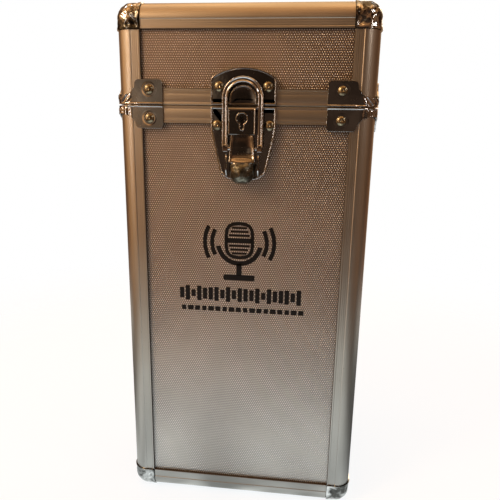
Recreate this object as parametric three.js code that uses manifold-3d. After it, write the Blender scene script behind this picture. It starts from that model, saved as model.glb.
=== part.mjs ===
// An upright carrying case with aluminium edge extrusions, laminated panels and nickel fittings, standing on
// its ball corners. Millimetres, +Z up, the front faces -Y. The origin is under the middle of the whole case.
import * as THREE from "three";
import { mergeVertices } from "three/addons/utils/BufferGeometryUtils.js";
import { RoundedBoxGeometry } from "three/addons/geometries/RoundedBoxGeometry.js";
import Module from "manifold-3d";

const wasm = await Module();
wasm.setup();

// The whole case, over the edge extrusions
const CASE_WIDTH = 160;
const CASE_DEPTH = 130;
const CASE_BOTTOM = 1;
const CASE_TOP = 339.6;
const PARTING_Z = 279.7;
const GAP = 0.3;
const HALF_PARTING_GAP = 0.2;

// Edge extrusion: two flanges at a right angle, joined by a quarter round, with a slot behind each flange
const EDGE_WIDTH = 16;
const EDGE_RADIUS = 10;
const EDGE_ARC_STEPS = 6;
const FLANGE = 1.7;
const SLOT_FLOOR = 7;
const LEG_FACE = 6.3;
const LEG_BACK = 7.8;
const GROOVE = { start: 10.8, end: 11.4, depth: 0.4 };

// Laminated panels, held in the slots
const PANEL_FACE = 2;
const PANEL_THICKNESS = 4;
const PANEL_EDGE = SLOT_FLOOR + GAP;
const PANEL_CHAMFER = 5;

// Frames that meet at the parting line, with a tongue on the body that enters a rebate in the lid
const BODY_RIM_HEIGHT = 10.8;
const LID_RIM_HEIGHT = 10.1;
const RIM_BAND = { face: 8.1, back: 9.6 };
const TONGUE = { back: 9.3, height: 2 };
const REBATE_HEIGHT = TONGUE.height + GAP;

// Ball corners
const BALL_PROUD = 1;
const BALL_INSIDE = 1.4;
const BALL_SEGMENTS = 3;

// Corner brackets either side of the parting line
const BRACKET = { face: 0.3, proud: 1.5, reach: 29.6, wide: 12.2, neck: 9, ear: 4.4 };
const BRACKET_LEDGE = { height: 1.3, proud: 2.8 };
const BRACKET_HEIGHT = { lid: 15.1, body: 14.1 };
const BRACKET_CORNER = 2;

// Foam liners
const FOAM_INSET = 10;
const BODY_FOAM_DROP = 8;
const LID_FOAM_LIFT = 0.5;
const WELL = { radius: 27, y: -20, depth: 215, thumbRadius: 12, thumbDepth: 40, sides: 32 };
const POCKET = { width: 104, length: 26, y: 30, depth: 70, radius: 8 };

// Draw latch with a key lock, measured outwards from the front face and upwards from the parting line
const PLATE = { back: 0.3, front: 1.5, rim: 2.3, rimWidth: 1, halfWidth: 20 };
const CATCH = { bottom: 0.6, shoulder: 16.8, top: 22.4 };
const BOSS = { halfWidth: 8.3, front: 3.4, top: 12 };
const BASE = { top: -0.6, shoulder: -15, bottom: -44.4, toeHalfWidth: 14.7, toe: -39, corner: 4 };
const EAR = { inner: 9.4, outer: 10.4, top: -28.5, bottom: -42, front: 6.5, bevel: 4, topBevel: 2, foot: 3 };
const LEVER_AXIS = { out: 4.9, up: -3.9 };
const LEVER_KNUCKLE = 3.1;
const LEVER_HALF_WIDTH = 8.3;
const LUG = { inner: 5.4, outer: 6.8, radius: 1.9, halfFoot: 0.7 };
const LEVER_PIN = { radius: 0.8, hole: 1.1, halfLength: 7.9 };
const LOCK = { up: -7.6, pocket: 2.2, skin: 6.7, keyhole: 1.6, slotHalfWidth: 0.8, slotEnd: -13.5 };
const ROTOR = { back: 2.8, radius: 1.9, keyHalfWidth: 0.4, keyHalfHeight: 1.4 };
const BAIL_AXIS = { out: 3.8, up: -25.4 };
const BAIL = { back: 3.9, front: 5.9, outer: 12.75, inner: 8.95, archUp: 4.45 };
const BAIL_END = { eye: 1.9, pin: 1.1, hole: 1.4, pinEnd: 3.2, step: 0.6 };

// Lever: outwards and upwards below the knuckle, then half widths and heights
const LEVER_SIDE = [
  [1.8, -33],
  [3.4, -44],
  [5.2, -45.8],
  [7.6, -46.3],
  [10.2, -45],
  [11.7, -42],
  [12, -39],
  [11, -35.8],
  [8.6, -33.6],
  [6.4, -32.4],
  [5.7, -29.5],
  [5.6, -26],
  [5.9, -22],
  [6.7, -18.2],
  [8, -16.8],
];
const LEVER_FRONT = [
  [8.3, 0],
  [8.3, -16.6],
  [7.1, -17.2],
  [7, -18],
  [7.2, -20],
  [7.7, -24],
  [7.95, -28],
  [8.05, -31.5],
  [8.1, -33.4],
  [8.1, -38.5],
  [7.5, -42],
  [6.4, -44.2],
  [4.9, -45.6],
  [3, -46.3],
];

// Rear hinge, measured outwards from the rear face
const HINGE = { halfWidth: 46, axisOut: 3.4, knuckle: 2.6, pin: 1.2, hole: 1.5, leaf: 9.5, knuckles: 5 };

// Drop handle on the lid
const HANDLE = { axisUp: 4.8, pin: 2, hole: 2.3, armInner: 33.5, armOuter: 39 };
const GRIP = { inner: 24, outer: 35, height: 9, corner: 5, neck: 4, waist: 2.1 };
const HANDLE_BRACKET = { inner: 39.6, outer: 46, plateEnd: 54, halfLength: 9, plate: 1.2, corner: 3 };
const SADDLE = { halfWidth: 4.6, roof: 9.2 };

// How far the latch lever and the rear hinge stand out, so that the whole case is centred on the origin
const FRONT_PROUD = 12;
const REAR_PROUD = HINGE.axisOut + HINGE.knuckle;

const COLOURS = {
  extrusion: [0xc9b99f, 0.38, 1],
  panel: [0xb9ab97, 0.45, 1],
  nickel: [0xb8b0a4, 0.14, 1],
  brass: [0xa98c4b, 0.25, 1],
  steel: [0x8d8a86, 0.3, 1],
  foam: [0x2c2b2d, 1, 0],
  plastic: [0x1b1b1d, 0.5, 0],
};

function toSolid(geometry) {
  const loose = geometry.index ? geometry.toNonIndexed() : geometry;
  const bare = new THREE.BufferGeometry();
  bare.setAttribute("position", loose.getAttribute("position").clone());
  const merged = mergeVertices(bare, 1e-4);
  const vertProperties = merged.attributes.position.array;
  const triVerts = new Uint32Array(merged.index.array);
  return new wasm.Manifold(new wasm.Mesh({ numProp: 3, vertProperties, triVerts }));
}

function toGeometry(solid) {
  const { vertProperties, triVerts } = solid.getMesh();
  const geometry = new THREE.BufferGeometry();
  geometry.setAttribute("position", new THREE.BufferAttribute(new Float32Array(vertProperties), 3));
  geometry.setIndex(new THREE.BufferAttribute(new Uint32Array(triVerts), 1));
  return geometry;
}

function join(first, ...others) {
  return toGeometry(others.reduce((whole, next) => whole.add(toSolid(next)), toSolid(first)));
}

function cut(first, ...tools) {
  return toGeometry(tools.reduce((whole, tool) => whole.subtract(toSolid(tool)), toSolid(first)));
}

function common(first, second) {
  return toGeometry(toSolid(first).intersect(toSolid(second)));
}

function box(x0, x1, y0, y1, z0, z1) {
  const geometry = new THREE.BoxGeometry(x1 - x0, y1 - y0, z1 - z0);
  return geometry.translate((x0 + x1) / 2, (y0 + y1) / 2, (z0 + z1) / 2);
}

function extrude(points, length, holes = []) {
  const shape = new THREE.Shape(points.map(([a, b]) => new THREE.Vector2(a, b)));
  for (const hole of holes) {
    shape.holes.push(new THREE.Path(hole.map(([a, b]) => new THREE.Vector2(a, b))));
  }
  return new THREE.ExtrudeGeometry(shape, { depth: length, bevelEnabled: false });
}

// The outline lies in the plane across the named axis: (y, z), (x, z) or (x, y)
function prismX(points, x0, x1) {
  const turn = new THREE.Matrix4().makeBasis(
    new THREE.Vector3(0, 1, 0),
    new THREE.Vector3(0, 0, 1),
    new THREE.Vector3(1, 0, 0),
  );
  return extrude(points, x1 - x0).applyMatrix4(turn).translate(x0, 0, 0);
}

function prismY(points, y0, y1) {
  return extrude(points, y1 - y0).rotateX(Math.PI / 2).translate(0, y1, 0);
}

function prismZ(points, z0, z1, holes) {
  return extrude(points, z1 - z0, holes).translate(0, 0, z0);
}

function arc(centreA, centreB, radius, from, to, steps) {
  return Array.from({ length: steps + 1 }, (_, i) => {
    const angle = THREE.MathUtils.degToRad(from + ((to - from) * i) / steps);
    return [centreA + radius * Math.cos(angle), centreB + radius * Math.sin(angle)];
  });
}

function cylinderX(radius, x0, x1, y, z, sides = 20) {
  return prismX(arc(y, z, radius, 0, 360 - 360 / sides, sides - 1), x0, x1);
}

function cylinderY(radius, x, z, y0, y1, sides = 20) {
  return prismY(arc(x, z, radius, 0, 360 - 360 / sides, sides - 1), y0, y1);
}

function roundedRectangle(halfX, halfY, radius, steps = 4) {
  return [
    ...arc(halfX - radius, halfY - radius, radius, 0, 90, steps),
    ...arc(radius - halfX, halfY - radius, radius, 90, 180, steps),
    ...arc(radius - halfX, radius - halfY, radius, 180, 270, steps),
    ...arc(halfX - radius, radius - halfY, radius, 270, 360, steps),
  ];
}

function rectangle(halfX, halfY) {
  return [[halfX, halfY], [-halfX, halfY], [-halfX, -halfY], [halfX, -halfY]];
}

function mirrored(points) {
  return [...points, ...points.map(([a, b]) => [-a, b]).reverse()];
}

const root = new THREE.Group();
const caseFrame = new THREE.Group();
caseFrame.position.y = (FRONT_PROUD - REAR_PROUD) / 2;
root.add(caseFrame);

function material(kind) {
  const [color, roughness, metalness] = COLOURS[kind];
  return new THREE.MeshStandardMaterial({ color, roughness, metalness });
}

function place(name, geometry, kind, parent = caseFrame, position = [0, 0, 0], mirror = [1, 1, 1]) {
  const mesh = new THREE.Mesh(geometry, material(kind));
  mesh.name = name;
  mesh.position.set(...position);
  mesh.scale.set(...mirror);
  parent.add(mesh);
  return mesh;
}

// The four upright corners, with the signs that mirror a piece built at the corner of x >= 0, y >= 0
const CORNERS = [
  ["front_left", -1, -1],
  ["front_right", 1, -1],
  ["back_left", -1, 1],
  ["back_right", 1, 1],
];
const HALVES = [
  { half: "body", end: CASE_BOTTOM, away: 1, rimHeight: BODY_RIM_HEIGHT, towards: "bottom" },
  { half: "lid", end: CASE_TOP, away: -1, rimHeight: LID_RIM_HEIGHT, towards: "top" },
];

// Section of the edge extrusion, from its outer corner inwards along both faces
function edgeSection() {
  const leg = [
    [EDGE_WIDTH, LEG_BACK],
    [EDGE_WIDTH, LEG_FACE],
    [SLOT_FLOOR, LEG_FACE],
    [SLOT_FLOOR, FLANGE],
    [EDGE_WIDTH, FLANGE],
    [EDGE_WIDTH, 0],
    [GROOVE.end, 0],
    [GROOVE.end, GROOVE.depth],
    [GROOVE.start, GROOVE.depth],
    [GROOVE.start, 0],
  ];
  const round = arc(EDGE_RADIUS, EDGE_RADIUS, EDGE_RADIUS, 270, 180, EDGE_ARC_STEPS);
  const otherLeg = leg.map(([a, b]) => [b, a]).reverse();
  return [...leg, ...round, ...otherLeg, [LEG_BACK, LEG_BACK]];
}

function addPosts({ half, end, away }) {
  const length = Math.abs(PARTING_Z - end) - EDGE_WIDTH - GAP - HALF_PARTING_GAP;
  const post = prismZ(edgeSection(), 0, length);
  for (const [corner, sx, sy] of CORNERS) {
    const foot = [(sx * CASE_WIDTH) / 2, (sy * CASE_DEPTH) / 2, end + away * (EDGE_WIDTH + GAP)];
    place(`${half}_post_${corner}`, post, "extrusion", caseFrame, foot, [-sx, -sy, away]);
  }
}

function addLongEdges({ half, end, away, towards }) {
  const halfX = CASE_WIDTH / 2 - EDGE_WIDTH - GAP;
  const halfY = CASE_DEPTH / 2 - EDGE_WIDTH - GAP;
  const across = prismX(edgeSection(), -halfX, halfX);
  const along = prismY(edgeSection(), -halfY, halfY);
  for (const [side, sign] of [["front", -1], ["back", 1]]) {
    const at = [0, (sign * CASE_DEPTH) / 2, end];
    place(`${half}_${towards}_edge_${side}`, across, "extrusion", caseFrame, at, [1, -sign, away]);
  }
  for (const [side, sign] of [["left", -1], ["right", 1]]) {
    const at = [(sign * CASE_WIDTH) / 2, 0, end];
    place(`${half}_${towards}_edge_${side}`, along, "extrusion", caseFrame, at, [-sign, 1, away]);
  }
}

function panelOutline(half, low, high, chamferHigh) {
  const c = PANEL_CHAMFER;
  const top = chamferHigh ? [[half, high - c], [half - c, high]] : [[half, high]];
  return mirrored([[half - c, low], [half, low + c], ...top]);
}

function addPanels({ half, end, away, towards }) {
  const halfX = CASE_WIDTH / 2 - PANEL_EDGE;
  const halfY = CASE_DEPTH / 2 - PANEL_EDGE;
  const height = Math.abs(PARTING_Z - end) - PANEL_EDGE;
  const outer = -PANEL_FACE;
  const inner = -PANEL_FACE - PANEL_THICKNESS;
  const wide = prismY(panelOutline(halfX, PANEL_EDGE, height, false), inner, outer);
  const deep = prismX(panelOutline(halfY, PANEL_EDGE, height, false), inner, outer);
  const flat = prismZ(panelOutline(halfX, -halfY, halfY, true), -outer, -inner);
  for (const [side, sign] of [["front", -1], ["back", 1]]) {
    const at = [0, (sign * CASE_DEPTH) / 2, end];
    place(`${half}_panel_${side}`, wide, "panel", caseFrame, at, [1, sign, away]);
  }
  for (const [side, sign] of [["left", -1], ["right", 1]]) {
    const at = [(sign * CASE_WIDTH) / 2, 0, end];
    place(`${half}_panel_${side}`, deep, "panel", caseFrame, at, [sign, 1, away]);
  }
  place(`${half}_panel_${towards}`, flat, "panel", caseFrame, [0, 0, end], [1, 1, away]);
}

function ballCorner() {
  const shell = (inside) => {
    const size = 2 * (EDGE_WIDTH - inside);
    const radius = EDGE_RADIUS - inside;
    return new RoundedBoxGeometry(size, size, size, BALL_SEGMENTS, radius).translate(
      EDGE_WIDTH,
      EDGE_WIDTH,
      EDGE_WIDTH,
    );
  };
  const reach = [-2 * BALL_PROUD, EDGE_WIDTH];
  return common(cut(shell(-BALL_PROUD), shell(BALL_INSIDE)), box(...reach, ...reach, ...reach));
}

function addBallCorners({ half, end, away }) {
  const ball = ballCorner();
  for (const [corner, sx, sy] of CORNERS) {
    const at = [(sx * CASE_WIDTH) / 2, (sy * CASE_DEPTH) / 2, end];
    place(`${half}_ball_corner_${corner}`, ball, "nickel", caseFrame, at, [-sx, -sy, away]);
  }
}

// Section of a rim frame between the posts: outwards face first, height measured from the parting line
function rimSection(height, stepDepth, stepHeight) {
  return [
    [0, HALF_PARTING_GAP],
    [0, height],
    [FLANGE, height],
    [FLANGE, SLOT_FLOOR],
    [LEG_FACE, SLOT_FLOOR],
    [LEG_FACE, height],
    [RIM_BAND.face + GAP, height],
    [RIM_BAND.face + GAP, stepHeight],
    [stepDepth, stepHeight],
    [stepDepth, HALF_PARTING_GAP],
  ];
}

function ringBand(face, back, z0, z1) {
  const outside = rectangle(CASE_WIDTH / 2 - face, CASE_DEPTH / 2 - face);
  const inside = rectangle(CASE_WIDTH / 2 - back, CASE_DEPTH / 2 - back);
  return prismZ(outside, z0, z1, [inside]);
}

function rimFrame(section, bandLow, bandHigh) {
  const halfX = CASE_WIDTH / 2 - EDGE_WIDTH - GAP;
  const halfY = CASE_DEPTH / 2 - EDGE_WIDTH - GAP;
  const pieces = [1, -1].flatMap((sign) => [
    prismX(section.map(([v, h]) => [sign * (CASE_DEPTH / 2 - v), h]), -halfX, halfX),
    prismY(section.map(([v, h]) => [sign * (CASE_WIDTH / 2 - v), h]), -halfY, halfY),
  ]);
  return join(ringBand(RIM_BAND.face, RIM_BAND.back, bandLow, bandHigh), ...pieces);
}

function addRims() {
  const bodySection = rimSection(BODY_RIM_HEIGHT, RIM_BAND.face + GAP, HALF_PARTING_GAP + GAP);
  const tongue = ringBand(RIM_BAND.face, TONGUE.back, -TONGUE.height, BODY_RIM_HEIGHT / 2);
  const bodyRim = join(rimFrame(bodySection, HALF_PARTING_GAP, BODY_RIM_HEIGHT), tongue);
  const lidSection = rimSection(LID_RIM_HEIGHT, LEG_BACK, REBATE_HEIGHT);
  const lidRim = rimFrame(lidSection, REBATE_HEIGHT, LID_RIM_HEIGHT);
  place("body_rim_frame", bodyRim, "extrusion", caseFrame, [0, 0, PARTING_Z], [1, 1, -1]);
  place("lid_rim_frame", lidRim, "extrusion", caseFrame, [0, 0, PARTING_Z]);
}

// A thin plate bent round the outer corner at the parting line, with a wide tab on each face
function cornerBracket(height) {
  const { face, proud, reach, wide, neck, ear } = BRACKET;
  const ledge = BRACKET_LEDGE.height;
  const ledgeProud = BRACKET_LEDGE.proud;
  const r = EDGE_RADIUS;
  const steps = EDGE_ARC_STEPS;
  const strip = (outside, inside) => [
    [reach, -outside],
    ...arc(r, r, r + outside, 270, 180, steps),
    [-outside, reach],
    [-inside, reach],
    ...arc(r, r, r + inside, 180, 270, steps),
    [reach, -inside],
  ];
  const low = HALF_PARTING_GAP;
  const beyond = -2 * ledgeProud;
  const tab = [
    [reach, low],
    ...arc(reach - BRACKET_CORNER, height - BRACKET_CORNER, BRACKET_CORNER, 0, 90, 3),
    [wide + BRACKET_CORNER, height],
    [wide, height - BRACKET_CORNER],
    [wide, neck],
    [neck, ear + 1],
    [ear, ear],
    [beyond, ear],
    [beyond, low],
  ];
  const overlap = 0.5;
  const faceSide = [
    [beyond, beyond],
    [reach + 1, beyond],
    [reach + 1, reach + 1 + overlap],
    [beyond, beyond + overlap],
  ];
  const bent = common(prismZ(strip(proud, face), low, height), prismZ(faceSide, 0, height));
  const front = common(bent, prismY(tab, beyond, 2 * reach));
  const swap = new THREE.Matrix4().makeBasis(
    new THREE.Vector3(0, 1, 0),
    new THREE.Vector3(1, 0, 0),
    new THREE.Vector3(0, 0, 1),
  );
  const side = turnedOut(front.clone().applyMatrix4(swap));
  const lip = box(wide + 1, reach, -ledgeProud, -face, low, ledge);
  const sideLip = box(-ledgeProud, -face, wide + 1, reach, low, ledge);
  return join(front, side, lip, sideLip);
}

// Turns the faces of a mirrored geometry outwards again
function turnedOut(geometry) {
  const index = geometry.index.array;
  for (let i = 0; i < index.length; i += 3) {
    [index[i + 1], index[i + 2]] = [index[i + 2], index[i + 1]];
  }
  return geometry;
}

function addBrackets({ half, away }) {
  const bracket = cornerBracket(BRACKET_HEIGHT[half]);
  for (const [corner, sx, sy] of CORNERS) {
    const at = [(sx * CASE_WIDTH) / 2, (sy * CASE_DEPTH) / 2, PARTING_Z];
    place(`${half}_bracket_${corner}`, bracket, "nickel", caseFrame, at, [-sx, -sy, -away]);
  }
}

function addFoam() {
  const halfX = CASE_WIDTH / 2 - FOAM_INSET;
  const halfY = CASE_DEPTH / 2 - FOAM_INSET;
  const top = PARTING_Z - BODY_FOAM_DROP;
  const block = box(-halfX, halfX, -halfY, halfY, CASE_BOTTOM + FOAM_INSET, top);
  const round = (radius, x, y) => arc(x, y, radius, 0, 360 - 360 / WELL.sides, WELL.sides - 1);
  const well = prismZ(round(WELL.radius, 0, WELL.y), top - WELL.depth, top + 1);
  const thumbs = [-1, 1].map((sign) =>
    prismZ(round(WELL.thumbRadius, sign * WELL.radius, WELL.y), top - WELL.thumbDepth, top + 1),
  );
  const pocketOutline = roundedRectangle(POCKET.width / 2, POCKET.length / 2, POCKET.radius);
  const pocket = prismZ(pocketOutline, top - POCKET.depth, top + 1).translate(0, POCKET.y, 0);
  place("body_foam_liner", cut(block, well, ...thumbs, pocket), "foam");
  const lidBlock = box(-halfX, halfX, -halfY, halfY, PARTING_Z + LID_FOAM_LIFT, CASE_TOP - FOAM_INSET);
  place("lid_foam_liner", lidBlock, "foam");
}

// The latch is built with y outwards from the front face and z upwards from the parting line
const latch = new THREE.Group();
latch.position.set(0, -CASE_DEPTH / 2, PARTING_Z);
latch.scale.y = -1;
caseFrame.add(latch);

function catchOutline(inset) {
  const rise = CATCH.top - CATCH.shoulder;
  const half = PLATE.halfWidth;
  const radius = (half * half + rise * rise) / (2 * rise);
  const spread = THREE.MathUtils.radToDeg(Math.asin((half - inset) / (radius - inset)));
  const crown = arc(0, CATCH.top - radius, radius - inset, 90 - spread, 90 + spread, 10);
  return [[half - inset, CATCH.bottom + inset], ...crown, [inset - half, CATCH.bottom + inset]];
}

function dOutline(halfWidth, low, centreUp) {
  return [[halfWidth, low], ...arc(0, centreUp, halfWidth, 0, 180, 12), [-halfWidth, low]];
}

function catchPlate() {
  const plate = prismY(catchOutline(0), PLATE.back, PLATE.rim);
  const pan = prismY(catchOutline(PLATE.rimWidth), PLATE.front, PLATE.rim + 1);
  const bossOutline = dOutline(BOSS.halfWidth, CATCH.bottom, BOSS.top - BOSS.halfWidth);
  const boss = prismY(bossOutline, PLATE.back + GAP, BOSS.front);
  return join(cut(plate, pan), boss);
}

function baseOutline(inset) {
  const half = PLATE.halfWidth - inset;
  const toe = BASE.toeHalfWidth - inset;
  const corner = BASE.corner - inset;
  return mirrored([
    [half, BASE.top - inset],
    [half, BASE.shoulder],
    [toe, BASE.toe],
    ...arc(toe - corner, BASE.bottom + inset + corner, corner, 0, -90, 4),
  ]);
}

function basePlate() {
  const plate = prismY(baseOutline(0), PLATE.back, PLATE.rim);
  const pan = prismY(baseOutline(PLATE.rimWidth), PLATE.front, PLATE.rim + 1);
  const earSide = [
    [PLATE.back + GAP, EAR.top],
    [EAR.front - EAR.topBevel, EAR.top],
    [EAR.front, EAR.top - EAR.bevel],
    [EAR.front, EAR.bottom + EAR.bevel],
    [EAR.front - EAR.foot, EAR.bottom],
    [PLATE.back + GAP, EAR.bottom],
  ];
  const { out, up } = LEVER_AXIS;
  const pieces = [-1, 1].flatMap((sign) => {
    const [earLow, earHigh] = [sign * EAR.inner, sign * EAR.outer].sort((a, b) => a - b);
    const [lugLow, lugHigh] = [sign * LUG.inner, sign * LUG.outer].sort((a, b) => a - b);
    return [
      prismX(earSide, earLow, earHigh),
      cylinderX(LUG.radius, lugLow, lugHigh, out, up),
      box(lugLow, lugHigh, PLATE.back + GAP, out, up - LUG.halfFoot, up + LUG.halfFoot),
    ];
  });
  const pinHole = cylinderX(LEVER_PIN.hole, -LUG.outer - 1, LUG.outer + 1, out, up);
  return cut(join(cut(plate, pan), ...pieces), pinHole);
}

// What its side view and its front view share, with ways for the lugs and bores for the pins and the lock
function lever() {
  const { out, up } = LEVER_AXIS;
  const back = out - LEVER_KNUCKLE;
  const sideView = [...LEVER_SIDE, ...arc(out, up, LEVER_KNUCKLE, 0, 180, 12)];
  const blank = common(
    prismX(sideView, -LEVER_HALF_WIDTH, LEVER_HALF_WIDTH),
    prismY(mirrored(LEVER_FRONT), 0, FRONT_PROUD + 1),
  );
  const lugWays = [-1, 1].flatMap((sign) => {
    const ends = [sign * (LUG.inner - GAP), sign * (LUG.outer + GAP)].sort((a, b) => a - b);
    return [
      cylinderX(LUG.radius + GAP, ...ends, out, up),
      box(...ends, back - 1, out + LUG.radius, up - LUG.radius - GAP, up + LEVER_KNUCKLE + 1),
    ];
  });
  const { skin, slotHalfWidth, slotEnd } = LOCK;
  const beyond = LEVER_HALF_WIDTH + 1;
  return cut(
    blank,
    ...lugWays,
    cylinderX(LEVER_PIN.hole, -beyond, beyond, out, up),
    cylinderX(BAIL_END.hole, -beyond, beyond, BAIL_AXIS.out, BAIL_AXIS.up),
    cylinderY(LOCK.pocket, 0, LOCK.up, back - 1, skin),
    cylinderY(LOCK.keyhole, 0, LOCK.up, skin - 1, FRONT_PROUD),
    box(-slotHalfWidth, slotHalfWidth, skin, FRONT_PROUD, slotEnd, LOCK.up),
  );
}

function lockRotor() {
  const { back, radius, keyHalfWidth, keyHalfHeight } = ROTOR;
  const barrel = cylinderY(radius, 0, LOCK.up, back, LOCK.skin - GAP);
  const [low, high] = [LOCK.up - keyHalfHeight, LOCK.up + keyHalfHeight];
  return cut(barrel, box(-keyHalfWidth, keyHalfWidth, LEVER_AXIS.out, FRONT_PROUD, low, high));
}

function bail() {
  const { back, front, outer, inner, archUp } = BAIL;
  const { eye, pin, pinEnd, step } = BAIL_END;
  const { out, up } = BAIL_AXIS;
  const foot = up + eye;
  const loop = prismY(
    [
      [outer, foot],
      ...arc(0, archUp, outer, 0, 180, 20),
      [-outer, foot],
      [-inner, foot],
      ...arc(0, archUp, inner, 180, 0, 20),
      [inner, foot],
    ],
    back,
    front,
  );
  const ends = [-1, 1].flatMap((sign) => {
    const leg = [sign * inner, sign * (outer - step)].sort((a, b) => a - b);
    const pinSpan = [sign * pinEnd, sign * (inner + step)].sort((a, b) => a - b);
    return [
      cylinderX(eye, ...leg, out, up),
      box(...leg, back, front - GAP, up, foot + step),
      cylinderX(pin, ...pinSpan, out, up),
    ];
  });
  return join(loop, ...ends);
}

function addLatch() {
  place("latch_catch_plate", catchPlate(), "nickel", latch);
  place("latch_base_plate", basePlate(), "nickel", latch);
  place("latch_lever", lever(), "nickel", latch);
  place("latch_bail", bail(), "nickel", latch);
  place("latch_lock_rotor", lockRotor(), "brass", latch);
  const { radius, halfLength } = LEVER_PIN;
  const pin = cylinderX(radius, -halfLength, halfLength, LEVER_AXIS.out, LEVER_AXIS.up);
  place("latch_lever_pin", pin, "steel", latch);
}

// The rear hinge is built with y outwards from the rear face and z upwards from the parting line
const hinge = new THREE.Group();
hinge.position.set(0, CASE_DEPTH / 2, PARTING_Z);
caseFrame.add(hinge);

function hingeLeaf(sign, ownKnuckle) {
  const { halfWidth, axisOut, knuckle, hole, leaf, knuckles } = HINGE;
  const [low, high] = [sign * GAP, sign * leaf].sort((a, b) => a - b);
  const pitch = (2 * halfWidth) / knuckles;
  const starts = Array.from({ length: knuckles }, (_, i) => i * pitch - halfWidth);
  const plate = box(-halfWidth, halfWidth, PLATE.back, PLATE.front, low, high);
  const own = starts
    .filter((_, i) => ownKnuckle(i))
    .map((x) => cylinderX(knuckle, x + GAP / 2, x + pitch - GAP / 2, axisOut, 0));
  const clear = knuckle + GAP;
  const ways = starts
    .filter((_, i) => !ownKnuckle(i))
    .map((x) => box(x - GAP / 2, x + pitch + GAP / 2, 0, axisOut, -clear, clear));
  const bore = cylinderX(hole, -halfWidth - 1, halfWidth + 1, axisOut, 0);
  return cut(join(plate, ...own), ...ways, bore);
}

function addHinge() {
  place("hinge_body_leaf", hingeLeaf(-1, (i) => i % 2 === 0), "nickel", hinge);
  place("hinge_lid_leaf", hingeLeaf(1, (i) => i % 2 === 1), "nickel", hinge);
  const pin = cylinderX(HINGE.pin, -HINGE.halfWidth, HINGE.halfWidth, HINGE.axisOut, 0);
  place("hinge_pin", pin, "steel", hinge);
}

// The handle folds flat on the lid, with z upwards from the face of the top panel
const handleFrame = new THREE.Group();
handleFrame.position.z = CASE_TOP - PANEL_FACE;
caseFrame.add(handleFrame);

function carryHandle() {
  const { axisUp, pin, armInner, armOuter } = HANDLE;
  const { inner, outer, height, corner, neck, waist } = GRIP;
  const foot = -axisUp / 2;
  const outline = [
    [armOuter, foot],
    ...arc(armOuter - corner, outer - corner, corner, 0, 90, 4),
    ...arc(corner - armOuter, outer - corner, corner, 90, 180, 4),
    [-armOuter, foot],
    [-armInner, foot],
    [-armInner, inner],
    [armInner, inner],
    [armInner, foot],
  ];
  const low = axisUp - height / 2;
  const frame = prismZ(outline, low, low + height);
  const pins = [-1, 1].map((sign) => {
    const ends = [sign * (armOuter - 1), sign * (HANDLE_BRACKET.outer - GAP)].sort((a, b) => a - b);
    return cylinderX(pin, ...ends, 0, axisUp);
  });
  const side = prismX(
    [
      ...arc(0, axisUp, axisUp / 2, 90, 270, 6),
      [inner - neck, low + waist],
      [inner, low],
      ...arc(outer - height / 2, axisUp, height / 2, -90, 90, 8),
      [inner, low + height],
      [inner - neck, low + height - waist],
    ],
    -armOuter,
    armOuter,
  );
  return join(common(frame, side), ...pins);
}

function handleBracket() {
  const { inner, outer, plateEnd, halfLength, plate, corner } = HANDLE_BRACKET;
  const { halfWidth, roof } = SADDLE;
  const plateOutline = roundedRectangle((plateEnd - inner) / 2, halfLength, corner);
  const base = prismZ(plateOutline, GAP, GAP + plate).translate((inner + plateEnd) / 2, 0, 0);
  const foot = GAP + plate / 2;
  const crown = arc(0, roof - halfWidth, halfWidth, 0, 180, 10);
  const saddle = prismX([[halfWidth, foot], ...crown, [-halfWidth, foot]], inner, outer);
  return cut(join(base, saddle), cylinderX(HANDLE.hole, inner - 1, outer + 1, 0, HANDLE.axisUp));
}

function addHandle() {
  place("carry_handle", carryHandle(), "plastic", handleFrame);
  place("handle_bracket_right", handleBracket(), "nickel", handleFrame);
  place("handle_bracket_left", handleBracket(), "nickel", handleFrame, [0, 0, 0], [-1, 1, 1]);
}

for (const halfCase of HALVES) {
  addPosts(halfCase);
  addLongEdges(halfCase);
  addPanels(halfCase);
  addBallCorners(halfCase);
  addBrackets(halfCase);
}
addRims();
addFoam();
addLatch();
addHinge();
addHandle();

export default root;
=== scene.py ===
import math

import bmesh
import bpy
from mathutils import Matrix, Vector, noise


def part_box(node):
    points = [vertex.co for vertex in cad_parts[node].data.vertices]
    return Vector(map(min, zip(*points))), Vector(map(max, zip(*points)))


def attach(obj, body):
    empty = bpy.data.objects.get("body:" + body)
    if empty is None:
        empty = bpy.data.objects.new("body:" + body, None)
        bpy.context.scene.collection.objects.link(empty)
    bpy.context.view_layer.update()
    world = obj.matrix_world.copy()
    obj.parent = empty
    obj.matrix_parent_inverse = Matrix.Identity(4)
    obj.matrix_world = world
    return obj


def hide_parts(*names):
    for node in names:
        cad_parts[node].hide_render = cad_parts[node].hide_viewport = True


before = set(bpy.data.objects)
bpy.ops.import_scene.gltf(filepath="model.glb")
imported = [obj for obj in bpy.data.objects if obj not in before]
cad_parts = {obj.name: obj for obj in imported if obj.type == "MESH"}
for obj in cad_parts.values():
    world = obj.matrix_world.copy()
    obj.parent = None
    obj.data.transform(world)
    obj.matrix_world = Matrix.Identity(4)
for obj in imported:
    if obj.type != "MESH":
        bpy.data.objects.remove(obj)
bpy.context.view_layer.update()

MM = 0.001

# ---- Places, all read from the frame, in millimetres


def box_mm(node):
    low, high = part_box(node)
    return low / MM, high / MM


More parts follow.
